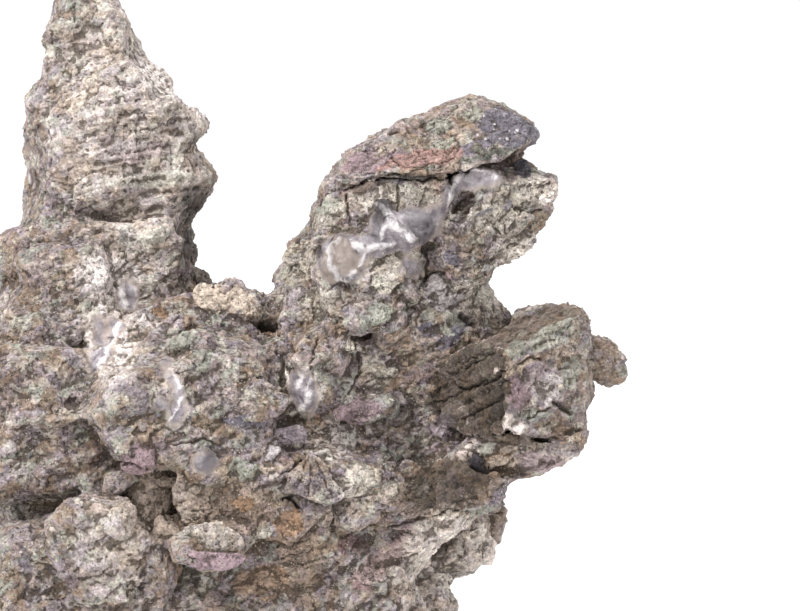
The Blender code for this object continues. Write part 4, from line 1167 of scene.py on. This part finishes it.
def clast_seams(marks, edges):
    """1 at points with a neighbour that belongs to another clast, softened a little, else 0."""
    differs = np.abs(marks[edges[:, 0]] - marks[edges[:, 1]]).max(axis=1) > 1e-4
    seam = np.zeros((len(marks), 1))
    seam[edges[differs].ravel()] = 1
    return (0.5 * seam + 0.5 * neighbour_mean(seam, edges))[:, 0]


def polar_directions(rings, around):
    """Unit vectors on rings between two poles, and the faces that close them into a ball."""
    polar = np.repeat(np.linspace(0, math.pi, rings + 2)[1:-1], around)
    turn = np.tile(np.arange(around) * math.tau / around, rings)
    ball = np.stack([np.sin(polar) * np.cos(turn), np.sin(polar) * np.sin(turn), np.cos(polar)], axis=1)
    top, bottom = rings * around, rings * around + 1
    faces = []
    for place in range(around):
        after = (place + 1) % around
        faces += [(top, place, after), (bottom, top - around + after, top - around + place)]
        for ring in range(rings - 1):
            low, high = (ring + 1) * around, ring * around
            faces += [(high + place, low + place, low + after), (high + place, low + after, high + after)]
    return np.vstack([ball, [(0, 0, 1), (0, 0, -1)]]), np.array(faces)


def unit(vectors):
    return vectors / np.linalg.norm(vectors, axis=-1, keepdims=True)


def angular_chips(rng, feet, outward, sizes, proud, bedded, rings=3, around=6):
    """Angular chips, each a ball cut by flat planes: along a direction, its radius is the least of
    plane height over the cosine to that plane. Two planes lie across the chip's thin side.

    Each chip is slid along its outward vector until its furthest point stands proud of its foot.
    """
    count = len(feet)
    ball, faces = polar_directions(rings, around)
    thin = unit(bedded * BEDDING[2] + (1 - bedded) * outward + 0.45 * rng.normal(size=(count, 3)))
    cuts = unit(rng.normal(size=(count, 9, 3)))
    cuts = np.concatenate([cuts, thin[:, None], -thin[:, None]], axis=1)
    heights = rng.uniform(0.62, 1.0, (count, 11))
    heights[:, 9:] = rng.uniform(0.3, 0.65, (count, 1))
    facing = np.einsum("ckx,px->cpk", cuts, ball)
    reach = (heights[:, None] / np.maximum(facing, 0.3)).min(axis=2)
    reach = np.minimum(reach, 1.15)
    shapes = ball * (reach * sizes[:, None])[:, :, None]
    furthest = np.einsum("cpx,cx->cp", shapes, outward).max(axis=1)
    shapes += (feet + outward * (proud - furthest)[:, None])[:, None]
    joined = (faces[None] + np.arange(count)[:, None, None] * len(ball)).reshape(-1, 3)
    return shapes.reshape(-1, 3), joined


def mesh_of(name, points, faces):
    """A mesh of triangles from whole arrays of points, in millimetres, and faces."""
    mesh = bpy.data.meshes.new(name)
    mesh.vertices.add(len(points))
    mesh.loops.add(faces.size)
    mesh.polygons.add(len(faces))
    mesh.vertices.foreach_set("co", (points * MM).astype(np.float32).ravel())
    mesh.loops.foreach_set("vertex_index", faces.astype(np.int32).ravel())
    mesh.polygons.foreach_set("loop_start", np.arange(0, faces.size, 3, dtype=np.int32))
    mesh.polygons.foreach_set("loop_total", np.full(len(faces), 3, dtype=np.int32))
    mesh.update(calc_edges=True)
    return mesh


def skin_faces(mesh):
    """Centres, outward normals and areas of a mesh's faces."""
    areas = np.empty(len(mesh.polygons), np.float32)
    mesh.polygons.foreach_get("area", areas)
    return read_vectors(mesh.polygons, "center") / MM, read_vectors(mesh.polygons, "normal"), areas.astype(float)


def flat_face_share(points, normals):
    """1 where the front's flat faces are, which stay free of large clasts, else 0."""
    column, row, _ = photo_place(points)
    inside = np.zeros(len(points), bool)
    for outline, *_ in FACES.values():
        inside |= inside_outline(column, row, outline)
    return inside & (normals @ VIEW_ALONG < -0.2)


def room_about(tree, places, directions, limit):
    """How far each place can go along its direction before it leaves the rock."""
    hits = (
        tree.ray_cast(Vector(place), Vector(direction), limit * MM)[3]
        for place, direction in zip(places * MM, directions)
    )
    return np.array([limit if hit is None else hit / MM for hit in hits])


def seated_sizes(tree, feet, outward, sizes):
    """Clast sizes, cut down to the room that the rock has behind and about each foot."""
    limit = 2.5 * sizes.max()
    behind = room_about(tree, feet - outward * 0.1, -outward, limit)
    sizes = np.minimum(sizes, 0.45 * behind)
    seats = feet - outward * (0.5 * sizes)[:, None]
    aside = unit(np.cross(outward, BEDDING[0]) + 1e-6)
    over = np.cross(outward, aside)
    for direction in (aside, -aside, over, -over):
        sizes = np.minimum(sizes, 1.05 * room_about(tree, seats, direction, limit))
    return np.maximum(sizes, 0.2)


def chosen_faces(rng, mesh, count, large):
    """Places spread over a mesh by area, twice as thick in front, with their outward normals.

    They keep clear of the flat base, and large ones of the flat faces.
    """
    centres, normals, areas = skin_faces(mesh)
    weight = areas * (centres[:, 2] > BASE_FADE + 2) * (1 + step_up(-normals @ VIEW_ALONG, -0.2, 0.4))
    weight = weight * (1 - (1.0 if large else 0.6) * flat_face_share(centres, normals))
    chosen = rng.choice(len(centres), count, p=weight / weight.sum())
    return centres[chosen], normals[chosen]


def joined(shapes):
    """Closed shapes, each its points, its faces and its mark, as one: points, faces, a mark per point."""
    starts = np.cumsum([0] + [len(points) for points, *_ in shapes])
    points = np.vstack([points for points, *_ in shapes])
    faces = np.vstack([faces + start for (_, faces, _), start in zip(shapes, starts)])
    marks = np.vstack([np.broadcast_to(mark, (len(points), 4)) for points, _, mark in shapes])
    return points, faces, marks


def write_colours(mesh, name, colours):
    """Writes four numbers for each point: a clast's mark, or a colour and its cover."""
    layer = mesh.attributes.new(name, "FLOAT_COLOR", "POINT")
    layer.data.foreach_set("color", colours.astype(np.float32).ravel())


def read_marks(mesh):
    flat = np.empty(len(mesh.vertices) * 4, np.float32)
    mesh.attributes["clast"].data.foreach_get("color", flat)
    return flat.reshape(-1, 4).astype(float)


def borrow_marks(piece, source, reach, mapping):
    """Each point of a piece takes the mark of the source's nearest surface or point, if in reach."""
    write_colours(piece.data, "clast", np.zeros((len(piece.data.vertices), 4)))
    apply_modifier(
        piece, "DATA_TRANSFER", object=source, use_vert_data=True, data_types_verts={"COLOR_VERTEX"},
        vert_mapping=mapping, layers_vcol_vert_select_src="ALL", layers_vcol_vert_select_dst="NAME",
        use_max_distance=True, max_distance=reach * MM,
    )


def clast_mark(place, tone, tint):
    """What a clast's points carry: its foot's place in the photograph, its tone and its tint."""
    return np.column_stack([place[0] / PHOTO_WIDTH, place[1] / PHOTO_WIDTH, tone, tint])


def read_triangles(mesh):
    mesh.calc_loop_triangles()
    flat = np.empty(len(mesh.loop_triangles) * 3, np.int32)
    mesh.loop_triangles.foreach_get("vertices", flat)
    return flat.reshape(-1, 3)


def write_vectors(mesh, name, vectors):
    layer = mesh.attributes.new(name, "FLOAT_VECTOR", "POINT")
    layer.data.foreach_set("vector", vectors.astype(np.float32).ravel())


def colour_marks(mesh, marks):
    """Writes what colours the rock: hollows, dirtied and given painted shade, edges, given a painted highlight,
    and the patches where the clasts' feet are, among them painted light and painted shade.

    A point that belongs to a clast takes the patches of the clast's foot, for the most part.
    """
    points, normals, edges = read_points(mesh), read_normals(mesh), read_edges(mesh)
    near, far = hollowness(points, normals, edges, 4), hollowness(points, normals, edges, 40)
    # hollow darkens the rock as dirt and painted shade; edge lightens it as a painted highlight.
    write_attribute(mesh, "hollow", np.clip(0.9 * near / 0.14 + 0.9 * far / 0.8, 0, 2) / 2)
    write_attribute(mesh, "edge", np.clip(-0.6 * near / 0.14 - 0.4 * far / 0.8, 0, 1))
    column, row = frayed_place(points)
    owned = 0.8 * (marks[:, 3] > 0)
    column = column + owned * (marks[:, 0] * PHOTO_WIDTH - column)
    row = row + owned * (marks[:, 1] * PHOTO_WIDTH - row)
    for name, strength in patch_strengths(column, row, normals, PATCHES).items():
        write_attribute(mesh, name, strength)
    column, row, _ = photo_place(points)
    write_vectors(mesh, "layer_place", layer_lines(column, row, normals)[1])
    column = column + 3.0 * swell(points, 3.4, 91) + 1.4 * swell(points, 1.4, 94)
    row = row + 3.0 * swell(points, 3.4, 92) + 1.4 * swell(points, 1.4, 95)
    write_attribute(mesh, "crest", crest_share(column, row)[0])
    quartz = marks[:, 3] > 1.5
    write_attribute(mesh, "quartz", quartz_share(points, normals, marks, edges))
    write_attribute(mesh, "tone", np.where(quartz, 0, marks[:, 2]))
    write_colours(mesh, "tint", tint_colours(np.where(quartz, 0, marks[:, 3])))


def dress_chunk(name, solid, corners, material):
    """Cuts one chunk out of the solid skin, thins it, and gives it the attributes that colour it."""
    low, high = np.array(corners[0]), np.array(corners[1])
    corner_points = np.array(list(itertools.product(*zip(low, high))))
    box_faces = np.array([
        (0, 1, 3), (0, 3, 2), (4, 6, 7), (4, 7, 5), (0, 4, 5), (0, 5, 1),
        (2, 3, 7), (2, 7, 6), (0, 2, 6), (0, 6, 4), (1, 5, 7), (1, 7, 3),
    ])
    cutter = loose_piece("cutter", mesh_of("cutter", corner_points, box_faces))
    work = loose_piece("chunk_work", solid.data.copy())
    apply_modifier(work, "BOOLEAN", operation="INTERSECT", solver="MANIFOLD", object=cutter)
    bpy.data.objects.remove(cutter)
    triangles = len(read_triangles(work.data))
    if triangles > CHUNK_TRIANGLES:
        apply_modifier(work, "DECIMATE", ratio=CHUNK_TRIANGLES / triangles)
    for layer in [layer.name for layer in work.data.attributes if layer.name == "clast"]:
        work.data.attributes.remove(work.data.attributes[layer])
    borrow_marks(work, solid, 2.0, "NEAREST")
    mesh = work.data
    marks = read_marks(mesh)
    mesh.attributes.remove(mesh.attributes["clast"])
    colour_marks(mesh, marks)
    mesh.shade_smooth()
    mesh.set_sharp_from_angle(angle=math.radians(SHARP_ANGLE))
    new_piece(name, mesh, material)
    bpy.data.objects.remove(work)


def strew_crumbs(rng, skin, material):
    """Loose angular crumbs bedded in the skin, each with a tone and a tint of its own."""
    centres, normals, areas = skin_faces(skin)
    fronting = step_up(-normals @ VIEW_ALONG, -0.1, 0.4)
    spread = areas * (centres[:, 2] > BASE_FADE + 2) * step_up(swell(centres, 8.0, 81), -0.9, 0.3)
    spread = spread * (1 - 0.6 * flat_face_share(centres, normals))
    column, row = frayed_place(centres)
    spread = spread * ~inside_quartz(column, row, normals)
    for name, (count, (least, most), (low, high), front) in CRUMBS.items():
        weight = spread * (fronting if front else 1 - 0.85 * fronting)
        chosen = rng.choice(len(centres), count, p=weight / weight.sum())
        sizes = least + (most - least) * rng.random(count) ** 2
        proud = rng.uniform(low, high, count) * sizes / most
        points, faces = angular_chips(rng, centres[chosen], normals[chosen], sizes, proud, 0.5, 2, 5)
        mesh = mesh_of(name, points, faces)
        each = len(points) // count
        write_attribute(mesh, "tone", np.repeat(rng.random(count) - 0.5, each))
        tints = tint_colours(rng.random(count) * RANDOM_TINTS)
        write_colours(mesh, "tint", np.repeat(tints, each, axis=0))
        strengths = patch_strengths(column[chosen], row[chosen], normals[chosen], PATCHES)
        for attribute, strength in strengths.items():
            write_attribute(mesh, attribute, np.repeat(strength, each))
        new_piece(name, mesh, material)


def surface_at(tree, place):
    """The point on the line of sight through a place of the photograph: at its depth, or on the skin."""
    ray = sight_points([place[:2]])
    if len(place) == 3:
        return slid_to_depth(ray, np.array([place[2]], float))[0]
    return np.array(tree.ray_cast(Vector(EYE * MM), Vector(ray[0] - EYE))[0]) / MM


def faceted_lobe(rng, centre, half, turned, sunk, cut_count, cut_heights, furthest):
    """A faceted lump: the ball's radius is the least of a furthest one and plane height over cosine,
    then stretched over the line of sight's frame to its half width, height and depth."""
    ball, faces = polar_directions(22, 40)
    cuts = unit(rng.normal(size=(cut_count, 3)) + np.array([0, 0, 0.4]))
    heights = rng.uniform(*cut_heights, cut_count)
    facing = ball @ cuts.T
    reach = np.minimum((heights / np.maximum(facing, 0.3)).min(axis=1), furthest)
    angle = math.radians(turned)
    across = VIEW_RIGHT * math.cos(angle) + VIEW_UP * math.sin(angle)
    upward = VIEW_UP * math.cos(angle) - VIEW_RIGHT * math.sin(angle)
    axes = np.stack([across * half[0], upward * half[1], -VIEW_ALONG * half[2]])
    return centre + VIEW_ALONG * sunk + (ball * reach[:, None]) @ axes, faces


def clast_shapes(rng, piece):
    """Shapes to fuse into the skin: seeded clasts, the named lumps and the lobes of quartz."""
    tree = BVHTree.FromObject(piece, bpy.context.evaluated_depsgraph_get())
    shapes = []
    for count, (least, most), (low, high), bedded, rings in FUSED_CLASTS:
        feet, outward = chosen_faces(rng, piece.data, count, most > 3)
        sizes = seated_sizes(tree, feet, outward, least + (most - least) * rng.random(count) ** 1.5)
        proud = rng.uniform(low, high, count) * sizes / most
        points, faces = angular_chips(rng, feet, outward, sizes, proud, bedded, rings, rings * 2)
        column, row, _ = photo_place(feet)
        mark = clast_mark((column, row), rng.random(count) - 0.5, 0.01 + rng.random(count) * RANDOM_TINTS)
        shapes.append((points, faces, np.repeat(mark, len(points) // count, axis=0)))
    for place, half, turned, sunk, tint in LUMPS.values():
        centre = surface_at(tree, place)
        points, faces = faceted_lobe(rng, centre, half, turned, sunk, LUMP_CUTS, (0.5, 0.85), 1.25)
        shapes.append((points, faces, clast_mark(place, rng.uniform(-0.25, 0.25), TINTS[tint][0] - 0.005)))
    for place, half, turned, sunk in QUARTZ_LOBES:
        centre = surface_at(tree, place)
        points, faces = faceted_lobe(rng, centre, half, turned, sunk, LOBE_CUTS, (0.62, 0.95), 1.0)
        shapes.append((points, faces, clast_mark(place, 0.0, QUARTZ_TINT)))
    return shapes


def rough_solid():
    """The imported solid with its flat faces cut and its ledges, in a fine even mesh."""
    piece = merged_node("stone")
    cut_faces(piece)
    apply_modifier(piece, "REMESH", mode="VOXEL", voxel_size=FIRST_VOXEL * MM)
    write_points(piece.data, ledge_skin(read_points(piece.data), read_normals(piece.data)))
    return piece


def build_skin(rock):
    """The stone's skin: the solid with ledges, fused clasts, quartz and flat fractures, in closed
    chunks, with crumbs on it."""
    rng = np.random.default_rng(7)
    piece = rough_solid()
    points, faces, marks = joined(clast_shapes(rng, piece))
    clasts = loose_piece("clasts_work", mesh_of("clasts", points, faces))
    write_colours(clasts.data, "clast", marks)
    unmarked = [(read_points(piece.data), read_triangles(piece.data), 0)]
    for outline, plane_points, _, thick in FACES.values():
        unmarked.append((*face_prism(outline, plane_points, 0, thick), 0))
    points, faces, _ = joined([*unmarked, (points, faces, 0)])
    before, piece.data = piece.data, mesh_of("joined", points, faces)
    bpy.data.meshes.remove(before)
    apply_modifier(piece, "REMESH", mode="VOXEL", voxel_size=SKIN_VOXEL * MM)
    borrow_marks(piece, clasts, CLAST_REACH, "POLYINTERP_NEAREST")
    bpy.data.objects.remove(clasts)

    mesh = piece.data
    points, normals, marks = read_points(mesh), read_normals(mesh), read_marks(mesh)
    edges = read_edges(mesh)
    column, row, _ = photo_place(points)
    layered, lines = layer_lines(column, row, normals)
    glassy = quartz_share(points, normals, marks, edges)
    seams = (1 - glassy) * clast_seams(marks, edges)
    points = quartz_skin(points, normals, glassy, edges)
    points = chip_skin(points, normals, glassy, layered, lines)
    write_points(mesh, points - normals * (SEAM_DEPTH * seams)[:, None])
    strew_crumbs(rng, mesh, rock)
    for name, corners in CHUNKS.items():
        dress_chunk("skin_" + name, piece, corners, rock)
    bpy.data.objects.remove(piece)


def set_stage():
    """A pale floor that runs out of sight and soft light from above and all round."""
    half = 6.0
    mesh = bpy.data.meshes.new("floor")
    mesh.from_pydata(
        [(-half, -half, 0), (half, -half, 0), (half, half, 0), (-half, half, 0)], [], [(0, 1, 2, 3)]
    )
    pale = Finish("pale_floor")
    pale.surface.inputs["Base Color"].default_value = (0.93, 0.93, 0.93, 1.0)
    pale.surface.inputs["Roughness"].default_value = 0.9
    mesh.materials.append(pale.material)
    floor = bpy.data.objects.new("floor", mesh)
    bpy.context.scene.collection.objects.link(floor)

    world = bpy.data.worlds.new("studio")
    bpy.context.scene.world = world
    world.use_nodes = True
    backdrop = world.node_tree.nodes["Background"]
    backdrop.inputs["Color"].default_value = (1.0, 1.0, 1.0, 1.0)
    backdrop.inputs["Strength"].default_value = 1.1

    for name, place, size, power in (
        ("key", (-0.45, -0.45, 1.0), 0.6, 13.0),
    ):
        lamp = bpy.data.lights.new(name, "AREA")
        lamp.shape = "DISK"
        lamp.size = size
        lamp.energy = power
        light = bpy.data.objects.new(name, lamp)
        bpy.context.scene.collection.objects.link(light)
        light.location = place
        light.rotation_euler = (Vector((0.02, 0, 0.1)) - light.location).to_track_quat("-Z", "Y").to_euler()


def set_camera():
    lens = bpy.data.cameras.new("photo_view")
    lens.lens = LENS
    lens.sensor_width = SENSOR
    lens.clip_end = 20.0
    camera = bpy.data.objects.new("photo_view", lens)
    bpy.context.scene.collection.objects.link(camera)
    camera.location = EYE * MM
    camera.rotation_euler = Vector(VIEW_ALONG).to_track_quat("-Z", "Y").to_euler()
    bpy.context.scene.camera = camera
    bpy.context.scene.view_settings.view_transform = "Standard"


set_stage()
set_camera()
build_skin(rock_finish())
